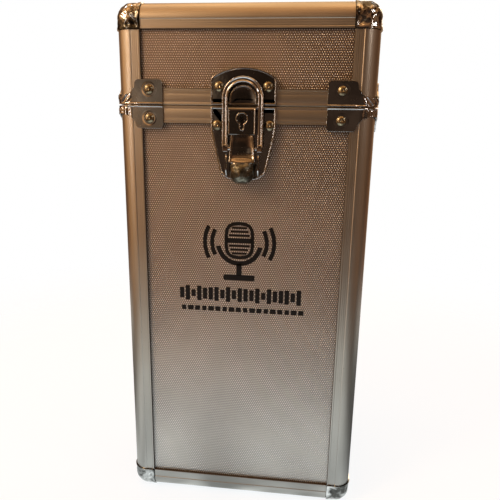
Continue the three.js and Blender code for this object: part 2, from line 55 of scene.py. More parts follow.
RIM_LOW, RIM_HIGH = box_mm("body_rim_frame")
FRONT_Y, BACK_Y = RIM_LOW.y, RIM_HIGH.y
HALF_WIDTH = RIM_HIGH.x
HALF_DEPTH = (BACK_Y - FRONT_Y) / 2
MID_Y = (FRONT_Y + BACK_Y) / 2
PARTING = (box_mm("body_post_front_left")[1].z + box_mm("lid_post_front_left")[0].z) / 2
CASE_BOTTOM = box_mm("body_bottom_edge_front")[0].z
CASE_TOP = box_mm("lid_top_edge_front")[1].z
EDGE_WIDTH = CASE_TOP - box_mm("lid_top_edge_front")[0].z
EDGE_RADIUS = 10.0
PANEL_FACE_Y = box_mm("body_panel_front")[0].y
TOP_FACE = box_mm("lid_panel_top")[1].z
CORNERS = {"front_left": (-1, -1), "front_right": (1, -1), "back_left": (-1, 1), "back_right": (1, 1)}
SIDES = ("front", "back", "left", "right")
ENDS = {"body": (CASE_BOTTOM, "bottom"), "lid": (CASE_TOP, "top")}
AWAY = {"body": -1, "lid": 1}        # the way each half leads from the parting line


def case_point(sign_x, sign_y, in_x, in_y, z):
    """A point given by how far it is inside a side face and inside the front or back face."""
    return (sign_x * (HALF_WIDTH - in_x), MID_Y + sign_y * (HALF_DEPTH - in_y), z)


# ---- Camera

CAMERA_RIGHT = 40.3
CAMERA_AHEAD = 314.0
CAMERA_ABOVE = 251.5
CAMERA_TILT = (75.98, -0.95, 6.59)


def make_camera():
    data = bpy.data.cameras.new("camera")
    data.lens = 36
    data.sensor_width = 36
    data.clip_start = 0.01
    camera = bpy.data.objects.new("camera", data)
    height = CASE_BOTTOM + EDGE_WIDTH + CAMERA_ABOVE
    camera.location = Vector((CAMERA_RIGHT, FRONT_Y - CAMERA_AHEAD, height)) * MM
    camera.rotation_euler = [math.radians(angle) for angle in CAMERA_TILT]
    bpy.context.scene.collection.objects.link(camera)
    bpy.context.scene.camera = camera


# ---- Materials


class Shade:
    """The node tree of a material or a world, with short calls for adding and linking nodes."""

    def __init__(self, owner, output="ShaderNodeOutputMaterial", coords="Object"):
        owner.use_nodes = True
        self.owner = owner
        self.tree = owner.node_tree
        self.tree.nodes.clear()
        self.output = self.tree.nodes.new(output)
        self.coords = self.node("ShaderNodeTexCoord", output=coords)

    def node(self, kind, inputs=None, output=0, **settings):
        made = self.tree.nodes.new(kind)
        for key, value in settings.items():
            setattr(made, key, value)
        for key, value in (inputs or {}).items():
            self.feed(made.inputs[key], value)
        return made.outputs[output]

    def feed(self, socket, value):
        if isinstance(value, bpy.types.NodeSocket):
            self.tree.links.new(value, socket)
        else:
            socket.default_value = value

    def math(self, operation, *values):
        return self.node("ShaderNodeMath", dict(enumerate(values)), operation=operation)

    def plus(self, first, second):
        return self.math("ADD", first, second)

    def times(self, first, second):
        return self.math("MULTIPLY", first, second)

    def axis(self, index):
        return self.node("ShaderNodeSeparateXYZ", {0: self.coords}, output=index)

    def distance(self, spot):
        inputs = {0: self.coords, 1: spot}
        return self.node("ShaderNodeVectorMath", inputs, output="Value", operation="DISTANCE")

    def stretched(self, scale):
        return self.node("ShaderNodeMapping", {"Vector": self.coords, "Scale": scale})

    def noise(self, scale, detail=3.0, vector=None, roughness=0.55):
        inputs = {"Vector": vector or self.coords, "Scale": scale, "Detail": detail, "Roughness": roughness}
        return self.node("ShaderNodeTexNoise", inputs)

    def cells(self, scale, feature):
        return self.node("ShaderNodeTexVoronoi", {"Vector": self.coords, "Scale": scale}, feature=feature)

    def between(self, value, low, high, to_low=0.0, to_high=1.0, smooth=False):
        inputs = {"Value": value, "From Min": low, "From Max": high, "To Min": to_low, "To Max": to_high}
        curve = "SMOOTHSTEP" if smooth else "LINEAR"
        return self.node("ShaderNodeMapRange", inputs, interpolation_type=curve)

    def mix(self, factor, first, second, blend="MIX"):
        inputs = {0: factor, 6: first, 7: second}
        return self.node("ShaderNodeMix", inputs, output=2, data_type="RGBA", blend_type=blend)

    def tinted(self, tone, tint):
        return self.mix(1.0, tone, tint, "MULTIPLY")

    def bump(self, height, distance_mm, strength, below=None):
        inputs = {"Height": height, "Distance": distance_mm * MM, "Strength": strength}
        if below:
            inputs["Normal"] = below
        return self.node("ShaderNodeBump", inputs)

    def mix_shader(self, factor, first, second):
        return self.node("ShaderNodeMixShader", {0: factor, 1: first, 2: second})

    def surface(self, shader):
        self.tree.links.new(shader, self.output.inputs[0])
        return self.owner

    def finish(self, tone, rough, normal, metallic=0.0, **more):
        inputs = {"Base Color": tone, "Roughness": rough, "Normal": normal, "Metallic": metallic}
        inputs.update({key.replace("_", " "): value for key, value in more.items()})
        return self.surface(self.node("ShaderNodeBsdfPrincipled", inputs))


def new_shade(name):
    return Shade(bpy.data.materials.new(name))


def rgba(red, green, blue):
    return (red, green, blue, 1.0)


# Painted light by height: the floor's tint is full below the first height in metres, the warm room's tint
# above the second.
PAINTED_FLOOR_LIGHT_UNDER = 0.02
PAINTED_ROOM_LIGHT_OVER = 0.18


def painted_height_light(s, low_tint, high_tint):
    """Painted light by height: the low tint stands in for the pale floor's reflection and shade near it, the
    high tint for warm room light reflected higher up.
    """
    return s.mix(s.between(s.axis(2), PAINTED_FLOOR_LIGHT_UNDER, PAINTED_ROOM_LIGHT_OVER, smooth=True), low_tint, high_tint)


def extrusion_material(axis):
    """Satin aluminium with faint drawing lines along the axis 0, 1 or 2."""
    s = new_shade("extrusion_" + "xyz"[axis])
    scale = [1.0, 1.0, 1.0]
    scale[axis] = 0.012
    drawn = s.stretched(scale)
    lines = s.noise(2600.0, vector=drawn)
    broad = s.noise(420.0, detail=2.0, vector=drawn)
    worn = s.between(s.noise(22.0, detail=4.0), 0.35, 0.7)
    specks = s.between(s.noise(650.0, detail=2.0), 0.70, 0.76)
    tone = s.mix(s.between(lines, 0.3, 0.7), rgba(0.52, 0.515, 0.50), rgba(0.56, 0.555, 0.54))
    tone = s.mix(s.times(worn, 0.18), tone, rgba(0.40, 0.39, 0.37))
    tone = s.mix(s.times(specks, 0.6), tone, rgba(0.36, 0.33, 0.29))
    # Painted light: darker and greyer near the floor as painted shade, warmer higher up as a painted
    # reflection of the warm room.
    tone = s.tinted(tone, painted_height_light(s, rgba(0.70, 0.71, 0.70), rgba(1.0, 0.94, 0.84)))
    rough = s.plus(s.between(lines, 0.2, 0.8, 0.30, 0.38), s.times(worn, 0.07))
    return s.finish(tone, rough, s.bump(broad, 0.012, 0.2, s.bump(lines, 0.008, 0.3)), metallic=1.0)


DIMPLE_PITCH = 1.46
DIMPLE_ROW = 1.373
DIMPLE_RADIUS = 0.57
DIMPLE_CROWN = 0.12
DIMPLE_NARROW = 1.2
DIMPLE_LOW = 1.15


def dimples(s, across, up):
    """1 on the crown of each raised dot, 0 between. Each row is half a pitch along from the last."""
    row = s.math("DIVIDE", s.axis(up), DIMPLE_ROW * MM)
    stagger = s.times(s.math("FLOORED_MODULO", s.math("FLOOR", row), 2.0), 0.5)
    column = s.plus(s.math("DIVIDE", s.axis(across), DIMPLE_PITCH * MM), stagger)
    squares = []
    for place, reach in ((row, DIMPLE_ROW * DIMPLE_LOW), (column, DIMPLE_PITCH * DIMPLE_NARROW)):
        off_centre = s.times(s.math("SUBTRACT", s.math("FRACT", place), 0.5), reach)
        squares.append(s.math("POWER", off_centre, 2.0))
    return s.between(s.math("SQRT", s.plus(*squares)), DIMPLE_RADIUS, DIMPLE_CROWN, smooth=True)


def panel_material(name, across, up):
    """Bare metal laminate embossed with small raised dots, a little stained."""
    s = new_shade(name)
    dot = dimples(s, across, up)
    stain = s.between(s.noise(16.0, detail=5.0), 0.35, 0.75)
    grime = s.between(s.noise(60.0, detail=4.0), 0.4, 0.8)
    # Painted highlights and shade: the dots' crowns are painted near white and the hollows between them dark.
    valley = s.mix(stain, rgba(0.215, 0.210, 0.203), rgba(0.29, 0.284, 0.272))
    # Painted light: the hollows are painted lighter and cooler near the floor, a painted reflection of the
    # pale floor, and warmer higher up, a painted reflection of the warm room.
    valley = s.tinted(valley, painted_height_light(s, rgba(1.82, 1.89, 1.92), rgba(1.02, 0.855, 0.76)))
    crest = s.mix(grime, rgba(1.0, 0.99, 0.97), rgba(0.88, 0.86, 0.83))
    # Painted light: the crowns are painted warmer higher up, a painted reflection of the warm room.
    crest = s.tinted(crest, painted_height_light(s, rgba(1.0, 1.0, 1.0), rgba(1.0, 0.91, 0.84)))
    rough = s.plus(s.between(dot, 0, 1, 0.42, 0.30), s.times(stain, 0.06))
    return s.finish(s.mix(dot, valley, crest), rough, s.bump(dot, 0.20, 1.0), metallic=1.0)


def nickel_material(name, clean, dull, rough_span, haze_span=(0.4, 0.75), knob_top=None):
    """Plating with haze, a few spots and slight waviness. Below knob_top it is duller, darker and mottled."""
    s = new_shade(name)
    haze = s.between(s.noise(90.0, detail=5.0), *haze_span)
    spots = s.between(s.noise(900.0, detail=2.0), 0.66, 0.78)
    tone = s.mix(s.times(spots, 0.5), s.mix(haze, clean, dull), rgba(0.20, 0.16, 0.12))
    rough = s.plus(s.between(haze, 0, 1, *rough_span), s.times(spots, 0.25))
    normal = s.bump(s.noise(200.0), 0.05, 0.5)
    if knob_top is not None:
        on_knob = s.between(s.axis(2), (knob_top + 0.6) * MM, (knob_top - 0.6) * MM)
        mottle = s.between(s.noise(420.0, detail=4.0), 0.42, 0.66)
        tone = s.mix(on_knob, tone, s.mix(mottle, rgba(0.085, 0.082, 0.062), rgba(0.24, 0.235, 0.195)))
        rough = s.plus(rough, s.times(on_knob, s.between(mottle, 0, 1, 0.26, 0.14)))
        normal = s.bump(s.times(mottle, on_knob), 0.10, 0.8, normal)
    return s.finish(tone, rough, normal, metallic=1.0)


def brass_material():
    """Dulled brass plating that has darkened in patches."""
    s = new_shade("brass")
    haze = s.between(s.noise(260.0, detail=4.0), 0.35, 0.7)
    tone = s.mix(haze, rgba(0.42, 0.37, 0.25), rgba(0.20, 0.18, 0.125))
    normal = s.bump(s.noise(700.0), 0.03, 0.6)
    return s.finish(tone, s.between(haze, 0, 1, 0.18, 0.34), normal, metallic=1.0)


def steel_material():
    """Bright drawn bar that lies along x."""
    s = new_shade("steel_pin")
    lines = s.noise(1800.0, detail=2.0, vector=s.stretched((0.03, 1.0, 1.0)))
    tone = s.mix(lines, rgba(0.42, 0.41, 0.39), rgba(0.60, 0.59, 0.56))
    return s.finish(tone, s.between(lines, 0.3, 0.7, 0.2, 0.36), s.bump(lines, 0.01, 0.5), metallic=1.0)


def foam_material():
    """Charcoal foam with open pores."""
    s = new_shade("foam")
    pores = s.between(s.cells(900.0, "F1"), 0.1, 0.7)
    tone = s.mix(pores, rgba(0.012, 0.012, 0.014), rgba(0.060, 0.060, 0.066))
    tone = s.mix(s.times(s.noise(45.0, detail=4.0), 0.3), tone, rgba(0.09, 0.088, 0.09))
    return s.finish(tone, 0.97, s.bump(pores, 0.35, 0.8), Sheen_Weight=0.25, Sheen_Roughness=0.6)


def painted_seam_shade_material():
    """Painted shade: a dark coat on the seams round the panels, where the joints lie in shade."""
    s = new_shade("painted_seam_shade")
    patchy = s.noise(300.0)
    tone = s.mix(patchy, rgba(0.016, 0.011, 0.008), rgba(0.05, 0.036, 0.026))
    return s.finish(tone, s.between(patchy, 0.3, 0.7, 0.5, 0.7), s.bump(patchy, 0.02, 0.5))


def plastic_material():
    """Black moulding with a fine leather grain."""
    s = new_shade("handle_plastic")
    leather = s.between(s.cells(1500.0, "SMOOTH_F1"), 0.1, 0.6)
    wear = s.between(s.noise(70.0, detail=4.0), 0.4, 0.75)
    tone = s.mix(wear, rgba(0.014, 0.014, 0.015), rgba(0.035, 0.034, 0.034))
    return s.finish(tone, s.between(wear, 0, 1, 0.48, 0.36), s.bump(leather, 0.08, 0.7))


def ink_material():
    """Black screen print that follows the dimples and has worn a little on their crowns."""
    s = new_shade("print_ink")
    dot = dimples(s, 0, 2)
    patchy = s.between(s.noise(520.0, detail=4.0), 0.45, 0.8)
    worn = s.times(dot, s.between(patchy, 0, 1, 0.05, 0.55))
    tone = s.mix(worn, rgba(0.004, 0.004, 0.005), rgba(0.040, 0.036, 0.033))
    rough = s.between(patchy, 0, 1, 0.55, 0.7)
    return s.finish(tone, rough, s.bump(dot, 0.14, 0.7), Specular_IOR_Level=0.2)


KNOB_TOP = PARTING - 34.0
EXTRUSION = [extrusion_material(axis) for axis in range(3)]
PANEL_XZ = panel_material("panel_front_back", 0, 2)
PANEL_YZ = panel_material("panel_left_right", 1, 2)
PANEL_XY = panel_material("panel_top_bottom", 0, 1)
NICKEL = nickel_material("nickel", rgba(0.60, 0.615, 0.63), rgba(0.42, 0.42, 0.42), (0.06, 0.14))
# Near black: painted shade, for the lock rotor that sits deep in the keyhole.
LOCK_METAL = nickel_material("lock_metal", rgba(0.10, 0.095, 0.09), rgba(0.05, 0.047, 0.042), (0.22, 0.38))
CORNER_NICKEL = nickel_material(
    "corner_nickel", rgba(0.62, 0.64, 0.64), rgba(0.07, 0.072, 0.068), (0.05, 0.14), haze_span=(0.42, 0.58)
)
CATCH_NICKEL = nickel_material("catch_nickel", rgba(0.47, 0.46, 0.45), rgba(0.20, 0.19, 0.18), (0.05, 0.13))
WORN_NICKEL = nickel_material(
    "worn_nickel", rgba(0.37, 0.365, 0.36), rgba(0.19, 0.187, 0.17), (0.08, 0.20), knob_top=KNOB_TOP
)
BRASS = brass_material()
STEEL = steel_material()
FOAM = foam_material()
# Painted shade for the seams round the panels.
PAINTED_SEAM_SHADE = painted_seam_shade_material()
PLASTIC = plastic_material()
INK = ink_material()


# ---- Outlines, in millimetres


def arc(centre_a, centre_b, radius, start_deg, end_deg, steps):
    angles = [math.radians(start_deg + (end_deg - start_deg) * i / steps) for i in range(steps + 1)]
    return [(centre_a + radius * math.cos(a), centre_b + radius * math.sin(a)) for a in angles]


def circle(radius, sides, centre_a=0.0, centre_b=0.0):
    return arc(centre_a, centre_b, radius, 0, 360, sides)[:-1]


def rounded(points, radius, steps=5):
    """A closed outline with each corner replaced by an arc-like curve. A point may carry its own radius."""
    made = []
    for i, point in enumerate(points):
        here = Vector(point[:2])
        want = point[2] if len(point) > 2 else radius
        before = Vector(points[i - 1][:2]) - here
        after = Vector(points[(i + 1) % len(points)][:2]) - here
        reach = min(want, before.length / 2.01, after.length / 2.01)
        if reach < 1e-6:
            made.append((here.x, here.y))
            continue
        start, end = here + before.normalized() * reach, here + after.normalized() * reach
        for k in range(steps + 1):
            t = k / steps
            spot = start * (1 - t) ** 2 + here * 2 * t * (1 - t) + end * t * t
            made.append((spot.x, spot.y))
    return made


def inset(points, distance):
    """The closed outline moved inwards by the distance, point for point."""
    following = points[1:] + points[:1]
    area = sum(a * next_b - next_a * b for (a, b), (next_a, next_b) in zip(points, following))
    turn = math.copysign(1.0, area)
    made = []
    for i, (point, ahead) in enumerate(zip(points, following)):
        here = Vector(point)
        normal = Vector((0.0, 0.0))
        for edge in (Vector(ahead) - here, here - Vector(points[i - 1])):
            if edge.length > 1e-9:
                normal += Vector((-edge.y, edge.x)).normalized() * turn
        if normal.length > 1e-9:
            here += normal.normalized() * distance
        made.append((here.x, here.y))
    return made


def fillet_steps(inset_at, out_at, radius, steps=4):
    """Pairs of inset and height that round an outer edge standing at out_at."""
    return [
        (inset_at + radius * (1 - math.cos(a)), out_at - radius + radius * math.sin(a))
        for a in (math.pi / 2 * k / steps for k in range(steps + 1))
    ]


def soft_ends(low, high, soft):
    """Pairs of inset and place for a bar with two eased ends."""
    way = math.copysign(soft, high - low)
    return [(soft, low), (0.0, low + way), (0.0, high - way), (soft, high)]


def smoothstep(low, high, value):
    t = min(1.0, max(0.0, (value - low) / (high - low)))
    return t * t * (3 - 2 * t)


def smooth_ramp(share):
    return smoothstep(0.0, 1.0, share)


def through(points, value, ramp=lambda share: share):
    """Height of the line, or with smooth_ramp the curve, through (position, height) points at a position."""
    if value <= points[0][0]:
        return points[0][1]
    for (a, low), (b, high) in zip(points, points[1:]):
        if value <= b:
            return low + (high - low) * ramp((value - a) / (b - a))
    return points[-1][1]


def along_path(path):
    """Each point of an open path in plan, with the direction to its right."""
    for i, point in enumerate(path):
        before, after = Vector(path[max(0, i - 1)][:2]), Vector(path[min(len(path) - 1, i + 1)][:2])
        along = (after - before).normalized()
        yield point, Vector((along.y, -along.x))


# ---- Meshes, built in millimetres


class Build:
    """Collects loops of points into one mesh."""

    def __init__(self):
        self.vertices = []
        self.faces = []

    def ring(self, points):
        start = len(self.vertices)
        self.vertices.extend(tuple(c * MM for c in point) for point in points)
        return list(range(start, start + len(points)))

    def bridge(self, first, second, closed=True):
        count = len(first)
        for i in range(count if closed else count - 1):
            j = (i + 1) % count
            self.faces.append((first[i], first[j], second[j], second[i]))

    def loft(self, rings, capped=True):
        """Joins rings of points. Where they aren't capped, the last is joined to the first."""
        made = [self.ring(ring) for ring in rings]
        for first, second in zip(made, made[1:]):
            self.bridge(first, second)
        if capped:
            self.faces.extend((tuple(made[0]), tuple(made[-1])))
        else:
            self.bridge(made[-1], made[0])

    def stack(self, outline, steps, place):
        """The outline repeated at each (inset, height). place turns a, b and height into a point."""
        self.loft([[place(a, b, height) for a, b in inset(outline, by)] for by, height in steps])

    def grid(self, rows):
        made = [self.ring(row) for row in rows]
        for first, second in zip(made, made[1:]):
            self.bridge(first, second, closed=False)
        return made

    def mesh(self, name):
        mesh = bpy.data.meshes.new(name)
        mesh.from_pydata(self.vertices, [], self.faces)
        made = bmesh.new()
        made.from_mesh(mesh)
        bmesh.ops.remove_doubles(made, verts=made.verts, dist=0.002 * MM)
        bmesh.ops.recalc_face_normals(made, faces=made.faces)
        made.to_mesh(mesh)
        made.free()
        return mesh


def prism(outline, place, low, high):
    build = Build()
    build.stack(outline, [(0.0, low), (0.0, high)], place)
    return build.mesh("cutter")


def loose_object(mesh):
    piece = bpy.data.objects.new("loose", mesh)
    bpy.context.scene.collection.objects.link(piece)
    return piece


def applied(piece):
    """The mesh that a loose object's modifiers give. The object itself is removed."""
    bpy.context.view_layer.update()
    depsgraph = bpy.context.evaluated_depsgraph_get()
    mesh = bpy.data.meshes.new_from_object(piece.evaluated_get(depsgraph), depsgraph=depsgraph)
    bpy.data.objects.remove(piece)
    return mesh


def carve(mesh, cutters):
    """The mesh with the cutters, which are meshes too, taken out of it."""
    piece = loose_object(mesh)
    helpers = [loose_object(cutter) for cutter in cutters]
    for helper in helpers:
        step = piece.modifiers.new("cut", "BOOLEAN")
        step.operation = "DIFFERENCE"
        step.solver = "EXACT"
        step.object = helper
    made = applied(piece)
    for helper in helpers:
        bpy.data.objects.remove(helper)
    return made


def add_piece(name, mesh, material, body, smooth_deg, node=None):
    piece = bpy.data.objects.new(name, mesh)
    bpy.context.scene.collection.objects.link(piece)
    mesh.materials.clear()
    mesh.materials.append(material)
    if smooth_deg:
        mesh.polygons.foreach_set("use_smooth", [True] * len(mesh.polygons))
        mesh.set_sharp_from_angle(angle=math.radians(smooth_deg))
    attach(piece, body)
    if node:
        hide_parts(node)
    return piece


def replace_node(node, mesh, material, body, smooth_deg=40):
    return add_piece("v_" + node, mesh, material, body, smooth_deg, node)


def replace_plated(node, mesh, body, material=NICKEL, smooth_deg=40):
    return replace_node(node, mesh, material, body, smooth_deg)


# ---- Edge extrusions

LIP_DEPTH = 1.7
LIP_CHAMFER = 0.2
RIDGE_PITCH = 1.2


def extrusion_profile():
    """Section from the outer corner inwards: inner lip, faint ridges, shadow groove and quarter round."""
    leg = [(EDGE_WIDTH, LIP_DEPTH), (EDGE_WIDTH, 0.35)]
    leg += [(EDGE_WIDTH - LIP_CHAMFER, 0.05), (EDGE_WIDTH - 1.1, 0.0)]
    leg += [(EDGE_WIDTH - 1.4, 0.22), (EDGE_WIDTH - 1.7, 0.26)]
    for k in range(3):
        start = EDGE_WIDTH - 1.9 - RIDGE_PITCH * k
        leg += [(start, 0.26), (start - 0.35, 0.215), (start - 0.75, 0.215), (start - 1.05, 0.26)]
    leg += [(10.7, 0.28), (10.5, 0.26), (10.3, 0.08), (10.1, 0.01)]
    quarter = arc(EDGE_RADIUS, EDGE_RADIUS, EDGE_RADIUS, 270, 180, 20)
    inside = [(7.0, LIP_DEPTH), (7.0, 6.3), (EDGE_WIDTH, 6.3), (EDGE_WIDTH, 7.8)]
    outer = leg + quarter + [(b, a) for a, b in reversed(leg)]
    return outer + [(b, a) for a, b in inside] + [(7.8, 7.8)] + inside[::-1]


def mark_seams(piece, is_seam):
    """Gives the narrow walls that drop to the panels a dark coat of painted shade."""
    piece.data.materials.append(PAINTED_SEAM_SHADE)
    for face in piece.data.polygons:
        if is_seam(face.center / MM):
            face.material_index = 1


def add_extrusion(node, body):
    """The detailed section swept along the node, its outer corner away from the case's middle."""
    low, high = box_mm(node)
    size = high - low
    axis = max(range(3), key=lambda i: size[i])
    others = [i for i in range(3) if i != axis]
    middle = (0.0, MID_Y, (CASE_BOTTOM + CASE_TOP) / 2)
    inwards = [-1 if low[i] + high[i] > 2 * middle[i] else 1 for i in range(3)]
    outside = [high[i] if inwards[i] < 0 else low[i] for i in range(3)]

    def place(a, b, along):
        point = [along] * 3
        for i, depth in zip(others, (a, b)):
            point[i] = outside[i] + inwards[i] * depth
        return point

    def beside_panel(spot):
        depths = [abs(spot[i] - outside[i]) for i in others]
        return abs(max(depths) - EDGE_WIDTH) < LIP_CHAMFER and min(depths) < LIP_DEPTH

    build = Build()
    build.loft([[place(a, b, along) for a, b in extrusion_profile()] for along in (low[axis], high[axis])])
    piece = replace_node(node, build.mesh(node), EXTRUSION[axis], body, 28)
    mark_seams(piece, beside_panel)


def add_extrusions():
    for half, (_, end) in ENDS.items():
        for corner in CORNERS:
            add_extrusion(f"{half}_post_{corner}", half)
        for side in SIDES:
            add_extrusion(f"{half}_{end}_edge_{side}", half)


# ---- Rim frames at the parting line

RIM_GAP = 0.2
RIM_BACK = 9.6
REBATE_DEPTH = 2.3
CORNER_BLOCK = 8.1


def rim_profile(height, lid):
    """Depth from the face against height from the parting line: grooved band, step near the lip, joint."""
    face = [(0.3, RIM_GAP), (0.0, RIM_GAP + 0.3)]
    for level, deep in ((2.0, 0.05), (height - 3.2, 0.03)):
        face += [(0.0, level - 0.2), (deep, level - 0.07), (deep, level + 0.07), (0.0, level + 0.2)]
    face += [(0.0, height - 1.7), (0.22, height - 1.5), (0.22, height - 1.2), (0.0, height - 1.0)]
    face += [(0.0, height - 0.25), (0.2, height)]
    behind = [(LIP_DEPTH, height), (LIP_DEPTH, 7.0), (6.3, 7.0), (6.3, height), (RIM_BACK, height)]
    if lid:
        return face + behind + [(RIM_BACK, REBATE_DEPTH), (7.8, REBATE_DEPTH), (7.8, RIM_GAP)]
    tongue = [(9.3, RIM_GAP), (9.3, -1.7), (9.0, -2.0), (8.4, -2.0), (8.1, -1.7), (8.1, RIM_GAP)]
    return face + behind + [(RIM_BACK, RIM_GAP)] + tongue


def add_rim(body):
    """Four bars between the posts, and two blocks behind each post that carry the joint round the corner."""
    node = body + "_rim_frame"
    low, high = box_mm(node)
    lid = body == "lid"
    height = (high.z - PARTING) if lid else (PARTING - low.z)
    profile = rim_profile(height, lid)
    ends = EDGE_WIDTH + 0.3
    block_ups = (REBATE_DEPTH if lid else RIM_GAP, height)
    build = Build()

    def level(up):
        return PARTING + AWAY[body] * up

    for sign in (-1, 1):
        build.loft([[case_point(way, sign, ends, deep, level(up)) for deep, up in profile] for way in (-1, 1)])
        build.loft([[case_point(sign, way, deep, ends, level(up)) for deep, up in profile] for way in (-1, 1)])
    for sx, sy in CORNERS.values():
        for a, b in ((ends + 0.05, RIM_BACK), (RIM_BACK, ends + 0.05)):
            square = [(CORNER_BLOCK, CORNER_BLOCK), (a, CORNER_BLOCK), (a, b), (CORNER_BLOCK, b)]
            build.loft([[case_point(sx, sy, *corner, level(up)) for corner in square] for up in block_ups])
    piece = replace_node(node, build.mesh(node), EXTRUSION[0], body, 30)

    def beside_panel(spot):
        depth = min(HALF_WIDTH - abs(spot.x), HALF_DEPTH - abs(spot.y - MID_Y))
        return abs(abs(spot.z - PARTING) - height) < LIP_CHAMFER and depth < LIP_DEPTH

    mark_seams(piece, beside_panel)


# ---- Ball corners

BALL_PROUD = 1.0
BALL_THICKNESS = 1.1
BALL_STEPS = 24


def ball_point(box_point):
    """The point of the rounded corner nearest to a point of its box, and the way out there."""
    radius = EDGE_RADIUS + BALL_PROUD
    core = Vector([max(value, EDGE_RADIUS) for value in box_point])
    out = (Vector(box_point) - core).normalized()
    return core + out * radius, out


def ball_relief(spot, seed):
    """How far the pressing sinks: hollows between its three ridges, a flat border, slight creases."""
    border = EDGE_WIDTH - max(spot)
    middle = Vector((1.0, 1.0, 1.0)).normalized()
    across = Vector((1.0, -0.5, -0.5)).normalized()
    along = spot - middle * spot.dot(middle)
    turn = math.atan2(along.dot(middle.cross(across)), along.dot(across))
    ridge = abs(math.cos(1.5 * turn)) ** 0.6
    hollow = 0.80 * (1 - ridge) * smoothstep(3.5, 10.0, along.length) * smoothstep(0.8, 2.6, border)
    crease = 0.42 * noise.noise(spot * 0.34) + 0.08 * noise.noise(spot * 0.8 + Vector((7.0, 3.0, 1.0)))
    crease += 0.25 * noise.noise(spot * 0.3 + seed)
    lip = 0.27 * smoothstep(2.4, 1.2, border)
    return max(0.0, 0.45 - lip + hollow + crease * smoothstep(0.6, 1.8, border))


def ball_shell(sign_x, sign_y, end, into):
    """Three square patches that meet at the corner, rounded, pressed and given a thickness."""
    reach = EDGE_WIDTH + BALL_PROUD
    ticks = [reach * k / BALL_STEPS - BALL_PROUD for k in range(BALL_STEPS + 1)]
    seed = Vector((sign_x * 31.0, sign_y * 17.0, into * 11.0))

    def locate(patch, a, b, sunk):
        box_point = [a, b]
        box_point.insert(patch, -BALL_PROUD)
        point, out = ball_point(box_point)
        spot = point - out * (ball_relief(point, seed) + sunk)
        return case_point(sign_x, sign_y, spot.x, spot.y, end + into * spot.z)

    build = Build()
    depths = (0.0, BALL_THICKNESS)
    for patch in range(3):
        for sunk in depths:
            build.grid([[locate(patch, a, b, sunk) for a in ticks] for b in ticks])
        build.grid([[locate(patch, EDGE_WIDTH, t, sunk) for t in ticks] for sunk in depths])
        build.grid([[locate(patch, t, EDGE_WIDTH, sunk) for t in ticks] for sunk in depths])
    return build


def add_ball_corners():
    for half, (end, _) in ENDS.items():
        for corner, (sx, sy) in CORNERS.items():
            node = f"{half}_ball_corner_{corner}"
            mesh = ball_shell(sx, sy, end, -AWAY[half]).mesh(node)
            replace_plated(node, mesh, half, CORNER_NICKEL, 50)


# ---- Corner brackets at the parting line

BRACKET_REACH = 29.6
BRACKET_WIDE = 12.2
BRACKET_EAR = 5.3
BRACKET_NECK = [(4.0, BRACKET_EAR), (8.0, 6.6), (BRACKET_WIDE, 10.4)]
BRACKET_FACE = 0.25
BRACKET_GAP = 0.5
BRACKET_THICKNESS = 0.85
BRACKET_CORNER = 2.2
HALF_BEND = EDGE_RADIUS * math.pi / 4
BEND_STEPS = 26
FLAT_STEPS = 34
RIVET_IN = 21.1
RIVET_UP = {"lid": 9.3, "body": 7.9}


def from_corner(walk):
    """Distance from the outer corner, along the face, of a walk round the bend."""
    return EDGE_RADIUS + abs(walk) - HALF_BEND


def bracket_height(along, top):
    """Height of the plate at a distance from the outer corner, measured along the face."""
    if along < BRACKET_WIDE:
        return through(BRACKET_NECK, along, smooth_ramp)
    near_side = min(along - BRACKET_WIDE, BRACKET_REACH - along)
    missing = max(0.0, BRACKET_CORNER - near_side)
    return top - BRACKET_CORNER + math.sqrt(max(0.0, BRACKET_CORNER**2 - missing**2))


def bracket_position(walk, out):
    """Plan position, inwards along x and y from the corner, of a walk round the bend and a stand-off."""
    if abs(walk) > HALF_BEND:
        flat = (from_corner(walk), -out)
        return flat if walk < 0 else flat[::-1]
    angle = math.pi * 1.25 - walk / EDGE_RADIUS
    reach = EDGE_RADIUS + out
    return (EDGE_RADIUS + reach * math.cos(angle), EDGE_RADIUS + reach * math.sin(angle))


def bracket_columns():
    flat = [HALF_BEND + (BRACKET_REACH - EDGE_RADIUS) * k / FLAT_STEPS for k in range(FLAT_STEPS + 1)]
    bend = [HALF_BEND * (2 * k / BEND_STEPS - 1) for k in range(1, BEND_STEPS)]
    return [-walk for walk in reversed(flat)] + bend + flat


def bracket_stand_off(walk, up, half):
    """Relief of the pressed plate: lip at the parting line, ring round the rivet, crumpled ear."""
    along = from_corner(walk)
    twist, phase = (0.8, 0.6) if half == "lid" else (0.0, 2.4)
    on_flat = smoothstep(11.5, 14.0, along)
    flange = 0.95 * (1 - smoothstep(0.85, 1.4, up)) * (0.35 + 0.65 * on_flat)
    from_rivet = math.hypot(along - RIVET_IN, up - RIVET_UP[half])
    ring = 0.10 * math.exp(-(((from_rivet - 3.6) / 0.45) ** 2)) * on_flat
    pleats = 0.5 + 0.5 * math.sin((walk + twist * up) * 1.75 + phase)
    crumple = 0.75 * pleats**1.5 * smoothstep(0.3, 2.6, up) + 0.2 * noise.noise((walk * 0.7, up * 0.6, 2.0))
    return BRACKET_FACE + flange + ring + crumple * (1 - smoothstep(4.5, 8.0, abs(walk)))


